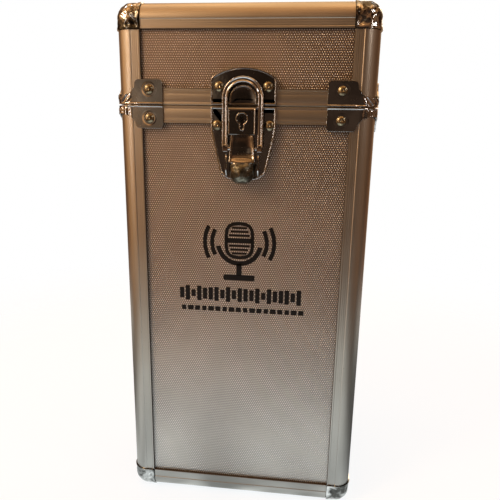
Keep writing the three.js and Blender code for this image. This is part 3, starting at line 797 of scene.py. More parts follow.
def bracket_mesh(node, half, sx, sy):
    low, high = box_mm(node)
    top = max(high.z - PARTING, PARTING - low.z)

    def locate(walk, share, sunk):
        up = BRACKET_GAP + (bracket_height(from_corner(walk), top) - BRACKET_GAP) * share
        out = bracket_stand_off(walk, up, half) + BRACKET_THICKNESS - sunk
        return case_point(sx, sy, *bracket_position(walk, out), PARTING + AWAY[half] * up)

    columns = bracket_columns()
    shares = [0.0, 0.012, 0.026, 0.036, 0.044, 0.052, 0.062, 0.078, 0.1, 0.125]
    shares += [0.16 + 0.84 * k / 22 for k in range(23)]
    build = Build()
    outer, inner = [
        build.grid([[locate(walk, share, sunk) for share in shares] for walk in columns])
        for sunk in (0.0, BRACKET_THICKNESS)
    ]
    for k in (0, -1):
        build.bridge(outer[k], inner[k], closed=False)
        build.bridge([ring[k] for ring in outer], [ring[k] for ring in inner], closed=False)
    return build.mesh(node)


def add_brackets():
    for half in ENDS:
        for corner, (sx, sy) in CORNERS.items():
            node = f"{half}_bracket_{corner}"
            piece = replace_plated(node, bracket_mesh(node, half, sx, sy), half, smooth_deg=50)
            edge = piece.modifiers.new("edge", "BEVEL")
            edge.width = 0.22 * MM
            edge.segments = 2
            edge.limit_method = "ANGLE"
            edge.angle_limit = math.radians(50)


# ---- Rivets

RIVET_SIDES = 28
DOME_STEPS = 9


def add_rivet(build, centre, out, radius=2.9, height=1.8):
    """A domed head with a small set mark in its crown, standing along the direction out."""
    out = Vector(out)
    right = out.orthogonal().normalized()
    ahead = out.cross(right)
    foot = 0.22
    profile = [(radius - 0.25, -0.4), (radius, 0.0), (radius, foot)]
    for k in range(1, DOME_STEPS):
        angle = math.pi / 2 * k / DOME_STEPS
        profile.append((radius * math.cos(angle) ** 0.8, foot + (height - foot) * math.sin(angle)))
    profile += [(radius * 0.26, height - 0.02), (radius * 0.18, height - 0.14), (radius * 0.05, height - 0.24)]
    build.loft([
        [Vector(centre) + right * a + ahead * b + out * up for a, b in circle(reach, RIVET_SIDES)]
        for reach, up in profile
    ])


def finish_rivets(name, build, body):
    add_piece(name, build.mesh(name), BRASS, body, 60)


def add_bracket_rivets():
    proud = -BRACKET_FACE - BRACKET_THICKNESS
    for half in ENDS:
        z = PARTING + AWAY[half] * RIVET_UP[half]
        build = Build()
        for sx, sy in CORNERS.values():
            add_rivet(build, case_point(sx, sy, RIVET_IN, proud, z), (0, sy, 0))
            add_rivet(build, case_point(sx, sy, proud, RIVET_IN, z), (sx, 0, 0), height=1.1)
        finish_rivets(f"{half}_bracket_rivets", build, half)


# ---- Draw latch: x across, up from the parting line, out from the front face

PLATE_BACK = 0.3
PLATE_FRONT = 1.35
PLATE_HALF = 20.0
LOCK_UP = -7.6
LEVER_UP, LEVER_OUT = -3.9, 4.9
BAIL_UP, BAIL_OUT = -25.4, 3.8
BAIL_INNER, BAIL_OUTER = 8.95, 12.75
BAIL_ARCH = 4.45


def latch_place(x, up, out):
    return (x, FRONT_Y - out, PARTING + up)


def latch_side(up, out, x):
    return latch_place(x, up, out)


def rimmed():
    """Plate edge with a raised, rounded border and a flat pan inside it."""
    border = [(0.15, PLATE_BACK), (0.0, PLATE_BACK + 0.2), (0.0, 1.9)] + fillet_steps(0.0, 2.3, 0.38)
    wall = [(0.78, 2.28), (0.95, 2.15), (1.03, 1.9), (1.08, PLATE_FRONT + 0.1)]
    return border + wall + [(by, PLATE_FRONT) for by in (1.2, 1.34, 3.4)]


def catch_outline():
    """Straight foot with small corners, then a crown on one arc with softened shoulders."""
    rise, shoulder, crown_steps = 22.4, 16.2, 28
    radius = (PLATE_HALF**2 + (rise - shoulder) ** 2) / (2 * (rise - shoulder))
    spread = math.degrees(math.asin(PLATE_HALF / radius))
    crown = arc(0, rise - radius, radius, 90 - spread, 90 + spread, crown_steps)
    foot = [(-PLATE_HALF, 0.6, 1.0), (PLATE_HALF, 0.6, 1.0)]
    return rounded(foot + [(*crown[0], 4.0)] + crown[3:-3] + [(*crown[-1], 4.0)], 0.0, 6)


def base_outline():
    half_toe = 14.7
    right = [(PLATE_HALF, -0.6, 1.0), (PLATE_HALF, -15.0, 5.0), (half_toe, -38.4, 2.0)]
    right += [(half_toe - 0.6, -40.6, 2.0), (8.6, -44.4, 3.0)]
    left = [(-x, up, soft) for x, up, soft in right]
    return rounded(right[:1] + left + right[:0:-1], 1.0, 6)


def add_catch_plate():
    build = Build()
    build.stack(catch_outline(), rimmed(), latch_place)
    half, top = 8.3, 12.0
    boss = [(half, 0.6)] + arc(0, top - half, half, 0, 180, 28) + [(-half, 0.6)]
    steps = [(0.0, PLATE_FRONT - 0.2), (0.0, 2.7)] + fillet_steps(0.0, 3.4, 0.55)
    steps += [(0.72, 3.38), (0.92, 3.2), (1.0, 2.75), (1.1, 2.62), (1.25, 2.6), (5.0, 2.6)]
    build.stack(boss, steps, latch_place)
    replace_plated("latch_catch_plate", build.mesh("catch"), "lid", CATCH_NICKEL)


def add_base_plate():
    """The rimmed plate, two guard ears beside the lever and two lugs for its pin."""
    build = Build()
    build.stack(base_outline(), rimmed(), latch_place)
    ear = [(-28.4, 1.0), (-28.4, 4.6, 1.6), (-31.0, 6.5, 2.0)]
    ear += [(-39.0, 6.5, 3.0), (-42.4, 3.6, 2.0), (-42.4, 1.0)]
    lug = [(LEVER_UP - 0.7, 1.0), (LEVER_UP - 0.7, LEVER_OUT)]
    lug += [(LEVER_UP + 0.7, LEVER_OUT), (LEVER_UP + 0.7, 1.0)]
    eye = circle(1.9, 24, LEVER_UP, LEVER_OUT)
    for sign in (-1, 1):
        build.stack(rounded(ear, 0.2, 6), soft_ends(sign * 9.4, sign * 10.4, 0.25), latch_side)
        build.stack(lug, soft_ends(sign * 5.4, sign * 6.8, 0.25), latch_side)
        build.stack(eye, soft_ends(sign * 5.4, sign * 6.8, 0.2), latch_side)
    replace_plated("latch_base_plate", build.mesh("base"), "body")


def add_latch_rivets():
    for body, up, x in (("lid", 11.2, 14.9), ("body", -11.4, 16.0)):
        build = Build()
        for sign in (-1, 1):
            add_rivet(build, latch_place(sign * x, up, PLATE_FRONT), (0, -1, 0), radius=3.1)
        finish_rivets(f"{body}_latch_rivets", build, body)


# Lever shape against height from the parting line: half width, front and back. The knob is below -34, the
# tongue from there to -17, and the lock housing above it.
LEVER_WIDTH = [
    (-46.3, 3.0), (-45.6, 4.9), (-44.2, 6.4), (-42.0, 7.5), (-38.5, 8.1), (-33.4, 8.1), (-31.5, 8.05),
    (-28.0, 7.95), (-24.0, 7.7), (-20.0, 7.2), (-18.0, 7.0), (-17.2, 7.0), (-16.9, 7.2), (-16.85, 8.2),
    (-16.6, 8.3), (-0.8, 8.3),
]
LEVER_FRONT = [
    (-46.3, 7.8), (-45.6, 9.6), (-44.2, 10.8), (-42.0, 11.6), (-39.0, 12.0), (-36.0, 11.4), (-34.4, 9.9),
    (-33.5, 8.6), (-33.35, 7.5), (-32.0, 6.85), (-30.5, 6.15), (-29.0, 5.75), (-27.5, 5.6), (-24.5, 5.5),
    (-21.0, 5.7), (-18.2, 6.0), (-17.4, 6.0), (-17.25, 5.2), (-16.9, 5.0), (-16.85, 7.6), (-16.6, 7.95),
    (-7.0, 8.0), (-2.6, 8.0), (-1.9, 7.85), (-1.35, 7.45), (-0.95, 6.8), (-0.8, 6.2),
]
LEVER_BACK = [
    (-46.3, 6.4), (-45.6, 5.2), (-44.2, 3.6), (-40.0, 2.6), (-33.0, 1.8), (-3.9, 1.8), (-2.6, 2.08),
    (-1.7, 2.8), (-1.1, 3.8), (-0.8, 4.7),
]


def lever_levels():
    """Heights of the lever's sections: even ones, and closer ones where its shape turns."""
    knob = [-46.3, -46.1, -45.8, -45.3, -44.7, -44.0] + [-43.0 + k for k in range(8)]
    neck = [-35.2, -34.6, -34.1, -33.7, -33.5, -33.42, -33.35, -33.0, -32.4, -31.5, -30.5]
    tongue = [-29.5 + k for k in range(12)] + [-17.9, -17.4, -17.25, -16.9, -16.85, -16.6, -16.2]
    housing = [-15.5 + k for k in range(11)]
    top = [-3.9, -3.2, -2.6, -2.25, -1.9, -1.6, -1.35, -1.15, -0.95, -0.86, -0.8]
    return knob + neck + tongue + housing + top


def lever_section(up):
    """Loop round the lever at a height: crisp on the housing, hollow on the tongue, full on the knob."""
    half, front, back = [through(line, up) for line in (LEVER_WIDTH, LEVER_FRONT, LEVER_BACK)]
    knob = 1 - smoothstep(-34.5, -33.2, up)
    tongue = smoothstep(-33.4, -30.0, up) * (1 - smoothstep(-17.3, -17.2, up))
    housing = smoothstep(-16.9, -16.8, up)
    shares = [0.0, 0.006, 0.014, 0.024, 0.036, 0.05, 0.065, 0.085, 0.11, 0.14]
    shares += [0.18 + 0.82 * k / 14 for k in range(15)]
    points = []
    for t in [share - 1 for share in shares] + [1 - share for share in reversed(shares[:-1])]:
        off_edge = min(1.0, (1 - abs(t)) / 0.045)
        eased = 1 - math.sqrt(max(0.0, 1 - (1 - off_edge) ** 2))
        crisp = 1 - eased * min(1.0, 0.9 / max(0.1, front - back))
        full = 0.12 + 0.88 * math.sqrt(max(0.0, 1 - t * t))
        rise = (front - back) * (crisp * (1 - knob) + full * knob)
        rise += tongue * (0.25 * math.exp(-(((abs(t) - 0.9) / 0.07) ** 2)) - 0.55 * (1 - abs(t) ** 3))
        rise += housing * 0.25 * (smoothstep(0.89, 0.935, abs(t)) - 1)
        points.append((half * t, back + max(0.3, rise)))
    return points + [(half, back + 0.1), (half - 0.3, back), (-half + 0.3, back), (-half, back + 0.1)]


def add_lever():
    """The lofted lever with ways for the lugs, a keyhole and the rotor's seat cut out of it."""
    build = Build()
    build.loft([[latch_place(x, up, out) for x, out in lever_section(up)] for up in lever_levels()])
    way = [(LEVER_UP - 2.2, 0.5), (LEVER_UP - 2.2, LEVER_OUT + 1.0), (LEVER_UP - 1.2, LEVER_OUT + 2.0)]
    way += [(1.0, LEVER_OUT + 2.0), (1.0, 0.5)]
    keyhole = arc(0, LOCK_UP, 1.6, -60, 240, 24) + [(-0.8, -13.5), (0.8, -13.5)]
    cutters = [prism(way, latch_side, sign * 5.1, sign * 7.1) for sign in (-1, 1)]
    cutters.append(prism(keyhole, latch_place, 6.4, 13.0))
    cutters.append(prism(circle(2.2, 24, 0, LOCK_UP), latch_place, 1.0, 6.7))
    replace_plated("latch_lever", carve(build.mesh("lever"), cutters), "lever", WORN_NICKEL, 38)


def collar(radius, half_tail, low):
    """A ring round the lock with a tail round the slot below it."""
    meet = math.degrees(math.asin(half_tail / radius))
    ring = arc(0, LOCK_UP, radius, -90 + meet, 270 - meet, 40)
    return ring + arc(0, low + half_tail, half_tail, 180, 360, 10)


def add_escutcheon():
    outer, inner = collar(3.8, 1.75, -14.6), collar(3.05, 1.0, -13.9)
    steps = [(outer, 0.0, 7.5), (outer, 0.0, 7.95), (outer, 0.12, 8.1), (outer, 0.3, 8.15)]
    steps += [(inner, -0.2, 8.12), (inner, -0.05, 8.0), (inner, 0.0, 7.5)]
    build = Build()
    build.loft([[latch_place(a, b, out) for a, b in inset(line, by)] for line, by, out in steps], capped=False)
    add_piece("latch_escutcheon", build.mesh("escutcheon"), WORN_NICKEL, "lever", 40)


def bail_path():
    """Centre line of the loop: up the left leg, over the arch and down the right leg."""
    middle, foot, steps = (BAIL_INNER + BAIL_OUTER) / 2, -24.2, 24
    leg = [(-middle, foot + (BAIL_ARCH - foot) * k / steps) for k in range(steps)]
    return leg + arc(0, BAIL_ARCH, middle, 180, 0, 48) + [(-x, up) for x, up in reversed(leg)]


def add_bail():
    """A pressed strip with two ridges and a groove between them, and pins that turn in at the feet."""
    half = (BAIL_OUTER - BAIL_INNER) / 2
    section = []
    for t in [k / 12 - 1 for k in range(25)]:
        ridge = 0.5 * math.exp(-(((abs(t) - 0.62) / 0.24) ** 2))
        edge = math.sqrt(max(0.0, 1 - max(0.0, (abs(t) - 0.86) / 0.14) ** 2))
        section.append((half * t, 4.10 + (1.25 + ridge) * edge))
    section += [(half, 4.07), (-half, 4.07)]
    build = Build()
    build.loft([
        [latch_place(x + side.x * a, up + side.y * a, out) for a, out in section]
        for (x, up), side in along_path(bail_path())
    ])
    eye = rounded([(-27.2, 1.9), (-27.2, 5.4), (-23.4, 5.7), (-22.6, 5.2), (-23.0, 3.9), (-24.6, 2.0)], 0.3, 3)
    pin = circle(1.1, 24, BAIL_UP, BAIL_OUT)
    for sign in (-1, 1):
        build.stack(eye, soft_ends(sign * BAIL_INNER, sign * 12.1, 0.25), latch_side)
        build.stack(pin, soft_ends(sign * 3.2, sign * 9.6, 0.2), latch_side)
    replace_plated("latch_bail", build.mesh("bail"), "bail")


def add_lock_rotor():
    build = Build()
    build.stack(circle(1.9, 28, 0, LOCK_UP), soft_ends(2.8, 6.4, 0.2), latch_place)
    slot = prism([(-0.4, -9.1), (0.4, -9.1), (0.4, -6.1), (-0.4, -6.1)], latch_place, 4.6, 9.0)
    mesh = carve(build.mesh("rotor"), [slot])
    replace_node("latch_lock_rotor", mesh, LOCK_METAL, "lock_rotor")


# ---- Rear hinge: x across, up from the parting line, out from the rear face

HINGE_HALF = 46.0
HINGE_OUT = 3.4
HINGE_KNUCKLE = 2.6
HINGE_LEAF = 9.5
HINGE_KNUCKLES = 5
HINGE_PITCH = 2 * HINGE_HALF / HINGE_KNUCKLES
HINGE_BORE = 1.45
LEAF_FRONT = 1.5


def hinge_side(up, out, x):
    return (x, BACK_Y + out, PARTING + up)


def hinge_outline(own):
    """A leaf with notches for the other leaf's knuckles."""
    outline = [(-HINGE_HALF, HINGE_LEAF, 2.5)]
    for i in range(HINGE_KNUCKLES):
        near, soft, inwards = (0.3, 0.0, 0.2) if i in own else (HINGE_KNUCKLE + 0.4, 0.8, -0.2)
        left = i * HINGE_PITCH - HINGE_HALF + (inwards if i else 0.0)
        right = (i + 1) * HINGE_PITCH - HINGE_HALF - (inwards if i < HINGE_KNUCKLES - 1 else 0.0)
        outline += [(left, near, soft), (right, near, soft)]
    return rounded(outline + [(HINGE_HALF, HINGE_LEAF, 2.5)], 0.0, 4)


def add_hinge_leaf(name, body, first):
    """A notched plate with a knuckle, and a web that joins it to the plate, at every other place."""
    sign = AWAY[body]
    own = range(first, HINGE_KNUCKLES, 2)
    steps = [(0.2, 0.3), (0.0, 0.5)] + fillet_steps(0.0, LEAF_FRONT, 0.35, 3)
    knuckle = circle(HINGE_KNUCKLE, 32, 0, HINGE_OUT)
    web = rounded([(1.2, 0.55), (4.8, 0.55), (4.8, 1.45), (2.6, 2.3, 0.8), (1.2, 2.6)], 0.1, 3)
    build = Build()
    build.stack(hinge_outline(own), steps, lambda x, up, out: hinge_side(sign * up, out, x))
    for i in own:
        left = i * HINGE_PITCH - HINGE_HALF
        ends = soft_ends(left + 0.15, left + HINGE_PITCH - 0.15, 0.25)
        for outline in (knuckle, web):
            build.stack(outline, ends, lambda up, out, x: hinge_side(sign * up, out, x))
    bore = prism(circle(HINGE_BORE, 24, 0, HINGE_OUT), hinge_side, -HINGE_HALF - 1, HINGE_HALF + 1)
    replace_plated(name, carve(build.mesh(name), [bore]), body)
    rivets = Build()
    for x in (-38.0, -12.7, 12.7, 38.0):
        add_rivet(rivets, hinge_side(sign * 6.3, LEAF_FRONT, x), (0, 1, 0), radius=2.1, height=1.1)
    finish_rivets(f"{body}_hinge_rivets", rivets, body)


def add_hinge():
    add_hinge_leaf("hinge_body_leaf", "body", 0)
    add_hinge_leaf("hinge_lid_leaf", "lid", 1)
    low, high = box_mm("hinge_pin")
    build = Build()
    build.stack(circle((high.z - low.z) / 2, 24, 0, HINGE_OUT), soft_ends(low.x, high.x, 0.35), hinge_side)
    replace_node("hinge_pin", build.mesh("pin"), STEEL, "body")


# ---- Carry handle on the lid, folded flat towards the back

HANDLE_UP = 4.8
HANDLE_ARM = 36.25
HANDLE_GRIP = 29.5
HANDLE_CORNER = 7.0
HANDLE_FOOT = -1.4
GRIP_STEPS = 40
FINGER_PITCH = 5.2


def handle_side(sign):
    """Places an outline, in y and up, at a distance from the middle, to the left or to the right."""
    return lambda y, up, x: (sign * x, MID_Y + y, TOP_FACE + up)


def handle_path():
    """Centre line from one pivot round the grip to the other, with the share of grip at each point."""
    reach = HANDLE_GRIP - HANDLE_CORNER - HANDLE_FOOT
    inner = HANDLE_ARM - HANDLE_CORNER
    left = [(-HANDLE_ARM, HANDLE_FOOT + reach * k / 14, 0.0) for k in range(15)]
    bend = arc(-inner, HANDLE_GRIP - HANDLE_CORNER, HANDLE_CORNER, 180, 90, 8)[1:]
    left += [(a, b, 0.15 * k / 8) for k, (a, b) in enumerate(bend, 1)]
    grip = []
    for k in range(1, GRIP_STEPS):
        from_end = 2 * min(k, GRIP_STEPS - k) / GRIP_STEPS
        share = 0.15 + 0.85 * smoothstep(0.0, 0.22, from_end)
        grip.append((inner * (2 * k / GRIP_STEPS - 1), HANDLE_GRIP, share))
    return left + grip + [(-a, b, share) for a, b, share in reversed(left)]


def handle_ring(x, y, share, side):
    """Section of the loop: squarish on the arms, rounder and ribbed on the grip."""
    rib = 0.22 * share * (0.5 + 0.5 * math.cos(x * math.tau / FINGER_PITCH))
    wide, tall = 2.65 + 2.7 * share - rib, 2.3 + 2.1 * share - rib
    power = 2.0 / (3.6 - 1.2 * share)
    ring = []
    for c, n in circle(1.0, 28):
        a = math.copysign(abs(c) ** power, c) * wide
        b = math.copysign(abs(n) ** power, n) * tall
        ring.append((x + side.x * a, MID_Y + y + side.y * a, TOP_FACE + HANDLE_UP + b))
    return ring


def add_handle():
    """A moulded loop: slim arms, a full grip with shallow finger ribs, and a pivot boss at each foot."""
    build = Build()
    build.loft([handle_ring(x, y, share, side) for (x, y, share), side in along_path(handle_path())])
    for sign in (-1, 1):
        for radius, sides, low, high in ((2.0, 24, 37.0, 45.6), (2.35, 32, 33.6, 39.0)):
            build.stack(circle(radius, sides, 0, HANDLE_UP), soft_ends(low, high, 0.3), handle_side(sign))
    replace_node("carry_handle", build.mesh("handle"), PLASTIC, "handle")


def add_handle_brackets():
    """A riveted foot plate with a barrel that holds the handle's pivot."""
    plate = rounded([(39.6, -9.0), (54.0, -9.0), (54.0, 9.0), (39.6, 9.0)], 3.2, 6)
    plate_steps = [(0.2, 0.3), (0.0, 0.5)] + fillet_steps(0.0, 1.5, 0.4, 3)
    barrel = [(4.6, 0.6)] + arc(0, 4.6, 4.55, 0, 180, 24) + [(-4.6, 0.6)]
    barrel_steps = [(0.35, 39.6), (0.0, 39.95), (0.0, 45.4), (0.15, 45.85), (0.5, 46.0)]
    rivets = Build()
    for side, sign in (("left", -1), ("right", 1)):
        across = handle_side(sign)
        build = Build()
        build.stack(plate, plate_steps, lambda x, y, up: across(y, up, x))
        build.stack(barrel, barrel_steps, across)
        bore = prism(circle(2.25, 28, 0, HANDLE_UP), across, 39.0, 47.0)
        replace_plated(f"handle_bracket_{side}", carve(build.mesh("bracket"), [bore]), "lid")
        for y in (-5.6, 5.6):
            add_rivet(rivets, across(y, 1.5, 50.3), (0, 0, 1), radius=2.3, height=1.3)
    finish_rivets("handle_bracket_rivets", rivets, "lid")


# ---- Foam liners

FOAM_VOXEL = 2.2
FOAM_ROUGHNESS = 0.25
WAVE_PITCH = 23.0
WAVE_DEPTH = 11.0


def roughen(mesh, amount, scale):
    """Moves each point a little along its normal, as cut foam is never quite flat."""
    normals = [Vector(vertex.normal) for vertex in mesh.vertices]
    moved = []
    for vertex, normal in zip(mesh.vertices, normals):
        here = Vector(vertex.co) / MM
        push = noise.noise(here * scale) * amount + noise.noise(here * scale * 3.1) * amount * 0.4
        moved.extend((here + normal * (push - amount)) * MM)
    mesh.vertices.foreach_set("co", moved)
    mesh.update()


def add_body_foam():
    """The node's own shape with its edges rounded off, cut into small faces and roughened."""
    block = loose_object(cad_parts["body_foam_liner"].data.copy())
    voxels = block.modifiers.new("voxels", "REMESH")
    voxels.mode = "VOXEL"
    voxels.voxel_size = FOAM_VOXEL * MM
    soften = block.modifiers.new("soften", "SMOOTH")
    soften.factor = 0.5
    soften.iterations = 4
    mesh = applied(block)
    roughen(mesh, FOAM_ROUGHNESS, 0.09)
    piece = replace_node("body_foam_liner", mesh, FOAM, "body", 80)


def round_off(value, first, last, radius=3.0):
    """How far an edge rounded by the radius has dropped away at a place between first and last."""
    missing = max(0.0, radius - min(value - first, last - value))
    return radius - math.sqrt(max(0.0, radius**2 - missing**2))


def add_lid_foam():
    """A block with a waved underside of rounded peaks and hollows."""
    low, high = box_mm("lid_foam_liner")

    def under(x, y):
        wave = math.sin(x * math.tau / WAVE_PITCH + 0.8) * math.sin(y * math.tau / WAVE_PITCH + 0.4)
        inside = min(x - low.x, high.x - x, y - low.y, high.y - y)
        hollow = WAVE_DEPTH * (0.5 - 0.5 * wave) * smoothstep(0.0, 5.0, inside)
        return low.z + 0.2 + hollow + round_off(x, low.x, high.x) + round_off(y, low.y, high.y)

    xs = [low.x + (high.x - low.x) * i / 66 for i in range(67)]
    ys = [low.y + (high.y - low.y) * j / 52 for j in range(53)]
    build = Build()
    build.grid([[(x, y, under(x, y)) for x in xs] for y in ys])
    build.grid([[(x, y, high.z) for x in xs] for y in ys])
    walls = [[(x, y) for x in xs] for y in (ys[0], ys[-1])] + [[(x, y) for y in ys] for x in (xs[0], xs[-1])]
    for wall in walls:
        build.grid([[(x, y, under(x, y)) for x, y in wall], [(x, y, high.z) for x, y in wall]])
    piece = replace_node("lid_foam_liner", build.mesh("foam"), FOAM, "lid", 70)


# ---- Print on the front: a plain microphone pictogram over a row of level bars and a row of dashes

PRINT_THICKNESS = 0.05
PRINT_X = -2.0
PRINT_TOP = 207.5
CAPSULE_Z = PRINT_TOP - 12.5
CRADLE_Z = PRINT_TOP - 14.0


def print_shape(build, outline, hole=None):
    """A flat shape. Its hole is an outline with as many points, and the shape is bridged to it."""
    front = PANEL_FACE_Y - PRINT_THICKNESS
    rings = [[(x, y, z) for x, z in outline] for y in (PANEL_FACE_Y, front)]
    if hole:
        rings += [[(x, y, z) for x, z in hole] for y in (front, PANEL_FACE_Y)]
    build.loft(rings, capped=not hole)


def bar(x, z, half_wide, half_tall, radius=0.3):
    corners = [(1, 1), (-1, 1), (-1, -1), (1, -1)]
    return rounded([(x + half_wide * a, z + half_tall * b) for a, b in corners], radius, 4)


def band(radius, width, start, end, steps):
    """Part of a ring round the microphone's cradle."""
    outer, inner = [arc(PRINT_X, CRADLE_Z, reach, start, end, steps) for reach in (radius, radius - width)]
    return outer + inner[::-1]


def add_print():
    build = Build()
    capsule = bar(PRINT_X, CAPSULE_Z, 9.8, 12.5, 8.8)
    print_shape(build, capsule, inset(capsule, 2.3))
    print_shape(build, bar(PRINT_X, CAPSULE_Z, 8.2, 1.7))
    for k in range(3):
        for way in (-1, 1):
            print_shape(build, bar(PRINT_X, CAPSULE_Z + way * (8.5 - 2.5 * k), 4.9 + k, 0.72))
    print_shape(build, band(15.6, 3.1, 190, 350, 28))
    print_shape(build, bar(PRINT_X, PRINT_TOP - 32.2, 1.8, 4.2))
    print_shape(build, bar(PRINT_X, PRINT_TOP - 37.8, 10.5, 1.9, 1.2))
    for middle in (0, 180):
        for radius in (19.4, 24.2):
            print_shape(build, band(radius, 2.7, middle - 28, middle + 28, 16))
    for k in range(21):
        level = abs(math.sin(k * 1.31 + 0.5)) * 0.55 + 0.45
        print_shape(build, bar((k - 10) * 3.95 - 1.3, 157.6, 1.5, 5.3 * level, 0.6))
    for k in range(18):
        print_shape(build, bar(k * 4.68 - 39.6, 147.0, (1.5, 2.0, 1.75)[k % 3], 1.7, 0.5))
    add_piece("front_print", build.mesh("print"), INK, "body", smooth_deg=0)


# ---- Panels and the lever pin, which keep their shape


def set_material(node, material):
    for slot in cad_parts[node].material_slots:
        slot.link = "OBJECT"
        slot.material = material


def finish_nodes():
    looks = {"front": PANEL_XZ, "back": PANEL_XZ, "left": PANEL_YZ, "right": PANEL_YZ}
    for half, (_, end) in ENDS.items():
        for side, material in {**looks, end: PANEL_XY}.items():
            set_material(f"{half}_panel_{side}", material)
    set_material("latch_lever_pin", STEEL)


# ---- Studio

FLOOR_FULL = 0.30
FLOOR_END = 0.66
FLOOR_RINGS = 12
LIT_SPOT = (-0.04, -0.21, 0.0)
BACK_SPOT = (0.0, 0.27, 0.0)


def floor_material():
    """Pale matte board that fades out at its round edge. Reflections see it lit in patches."""
    s = new_shade("floor")
    tone = s.mix(s.noise(3.0), rgba(0.16, 0.16, 0.16), rgba(0.18, 0.18, 0.18))
    glow = {"Emission Color": rgba(0.93, 0.97, 1.0), "Emission Strength": 0.89}
    board = s.node("ShaderNodeBsdfPrincipled", {"Base Color": tone, "Roughness": 0.75, **glow})
    from_middle = s.distance((0.0, 0.0, 0.0))
    behind = s.between(s.axis(1), -0.14, 0.02, smooth=True)
    around = s.times(s.between(from_middle, 0.29, 0.40, 0.0, 0.8, smooth=True), behind)
    around = s.math("MAXIMUM", around, s.between(s.distance(BACK_SPOT), 0.23, 0.14, smooth=True))
    lit = s.math("MAXIMUM", s.between(s.distance(LIT_SPOT), 0.29, 0.15, smooth=True), around)
    patches = s.between(s.noise(17.0, detail=2.0), 0.40, 0.60, 0.5, 1.35)
    strength = s.times(patches, s.between(lit, 0, 1, 0.14, 1.0))
    shine = s.node("ShaderNodeEmission", {"Color": rgba(1.02, 1.05, 1.035), "Strength": strength})
    seen = s.node("ShaderNodeLightPath", output="Is Camera Ray")
    fade = s.between(from_middle, FLOOR_FULL, FLOOR_END, smooth=True)
    clear = s.node("ShaderNodeBsdfTransparent")
    return s.surface(s.mix_shader(fade, s.mix_shader(seen, shine, board), clear))


def make_floor():
    """Round pale board under the case."""
    build = Build()
    made = []
    for k in range(1, FLOOR_RINGS + 1):
        radius = FLOOR_END / MM * k / FLOOR_RINGS
        made.append(build.ring([(x, y, 0.0) for x, y in circle(radius, 64)]))
    for first, second in zip(made, made[1:]):
        build.bridge(first, second)
    build.faces.append(tuple(made[0]))
    floor = loose_object(build.mesh("floor"))
    floor.name = "floor"
    floor.data.materials.append(floor_material())


# Reflected surroundings: direction, inner and outer angle in degrees, colour.
# The room is patchy and the front is even.
ROOM = [
    ((-0.80, -0.60, 0.35), 6, 50, (0.98, 0.50, 0.20)),
    ((0.0, 0.1, 1.0), 15, 55, (1.05, 0.49, 0.17)),
    ((0.0, 1.0, 0.30), 20, 62, (0.60, 0.36, 0.20)),
    ((0.80, -0.50, 0.10), 10, 50, (0.14, 0.070, 0.035)),
]
FRONT = [
    ((0.11, -1.0, 0.06), 11, 27, (0.042, 0.025, 0.016)),
    ((-0.27, -0.96, 0.06), 1, 7, (0.36, 0.25, 0.165)),
]
SURROUND_BASE = (0.125, 0.054, 0.024)


def add_lobes(s, colour, lobes):
    for towards, inner, outer, tint in lobes:
        inputs = {0: s.coords, 1: Vector(towards).normalized()}
        facing = s.node("ShaderNodeVectorMath", inputs, output="Value", operation="DOT_PRODUCT")
        edge, full = math.cos(math.radians(outer)), math.cos(math.radians(inner))
        colour = s.mix(s.between(facing, edge, full, smooth=True), colour, rgba(*tint))
    return colour


def make_world():
    """Pale to the camera; to reflections a dim warm room with a lit side, a lit ceiling and a dark front."""
    world = bpy.data.worlds.new("studio")
    bpy.context.scene.world = world
    s = Shade(world, "ShaderNodeOutputWorld", "Generated")
    patches = s.between(s.noise(2.6, detail=2.0, roughness=0.5), 0.38, 0.64, 0.12, 2.0)
    inputs = {0: add_lobes(s, rgba(*SURROUND_BASE), ROOM), "Scale": patches}
    patchy = s.node("ShaderNodeVectorMath", inputs, operation="SCALE")
    strength = s.between(s.noise(8.0, detail=1.0, roughness=0.5), 0.36, 0.64, 0.45, 1.55)
    room = s.node("ShaderNodeBackground", {"Color": add_lobes(s, patchy, FRONT), "Strength": strength})
    pale = s.node("ShaderNodeBackground", {"Color": rgba(1.0, 1.0, 1.0)})
    s.surface(s.mix_shader(s.node("ShaderNodeLightPath", output="Is Camera Ray"), room, pale))


CASE_MIDDLE = (0.0, MID_Y * MM, 0.17)
STRIP_COLOUR = (1.0, 0.86, 0.76)
GLINT_COLOUR = (1.0, 0.93, 0.88)

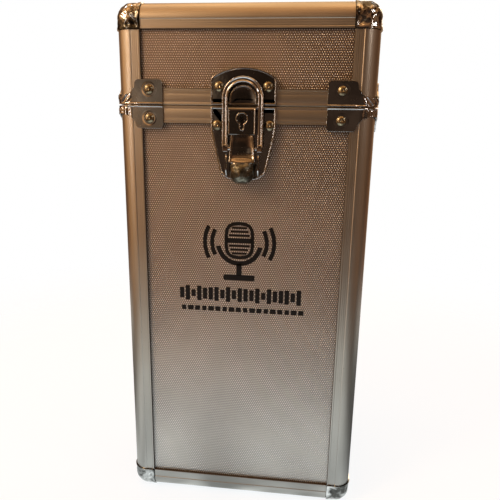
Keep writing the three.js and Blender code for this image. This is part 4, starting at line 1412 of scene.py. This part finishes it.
# Name, position, target, size, power, colour. The glints are small lights that only show on the plated parts.
LIGHTS = [
    ("key", (-0.85, -0.75, 0.95), CASE_MIDDLE, (0.3, 0.45), 6.6, (1.0, 0.65, 0.36)),
    ("left_strip", (-0.55, -0.75, 0.50), CASE_MIDDLE, (0.03, 0.5), 0.42, STRIP_COLOUR),
    ("right_strip", (0.62, -0.62, 0.62), CASE_MIDDLE, (0.025, 0.4), 0.50, STRIP_COLOUR),
    ("top", (0.1, 0.35, 1.5), (0.0, 0.1, 0.0), (1.2, 1.2), 4, (1.0, 0.70, 0.39)),
    ("rear", (0.45, 1.3, 0.85), CASE_MIDDLE, (0.6, 0.6), 3.2, (1.0, 0.80, 0.58)),
    ("glint_left", (-0.95, -0.35, 0.80), CASE_MIDDLE, (0.10, 0.18), 0.45, GLINT_COLOUR),
    ("glint_right", (0.90, -0.40, 0.85), CASE_MIDDLE, (0.08, 0.16), 0.40, GLINT_COLOUR),
    ("glint_high_left", (-0.62, 0.12, 1.25), CASE_MIDDLE, (0.30, 0.06), 0.60, GLINT_COLOUR),
    ("glint_high_right", (0.62, 0.12, 1.25), CASE_MIDDLE, (0.30, 0.06), 0.45, GLINT_COLOUR),
    ("glint_low_left", (-0.80, -0.70, 0.30), CASE_MIDDLE, (0.05, 0.16), 0.22, GLINT_COLOUR),
]


def area_light(name, position, target, size, power, colour):
    data = bpy.data.lights.new(name, "AREA")
    data.shape = "RECTANGLE"
    data.size, data.size_y = size
    data.energy = power
    data.color = colour
    lamp = bpy.data.objects.new(name, data)
    lamp.location = position
    lamp.rotation_euler = (Vector(target) - Vector(position)).to_track_quat("-Z", "Y").to_euler()
    bpy.context.scene.collection.objects.link(lamp)


def make_studio():
    make_floor()
    make_world()
    for light in LIGHTS:
        area_light(*light)
    bpy.context.scene.view_settings.view_transform = "Standard"


make_camera()
add_extrusions()
for half in ENDS:
    add_rim(half)
add_ball_corners()
add_brackets()
add_bracket_rivets()
add_catch_plate()
add_base_plate()
add_latch_rivets()
add_lever()
add_escutcheon()
add_bail()
add_lock_rotor()
add_hinge()
add_handle()
add_handle_brackets()
add_body_foam()
add_lid_foam()
add_print()
finish_nodes()
make_studio()

bpy.context.view_layer.update()
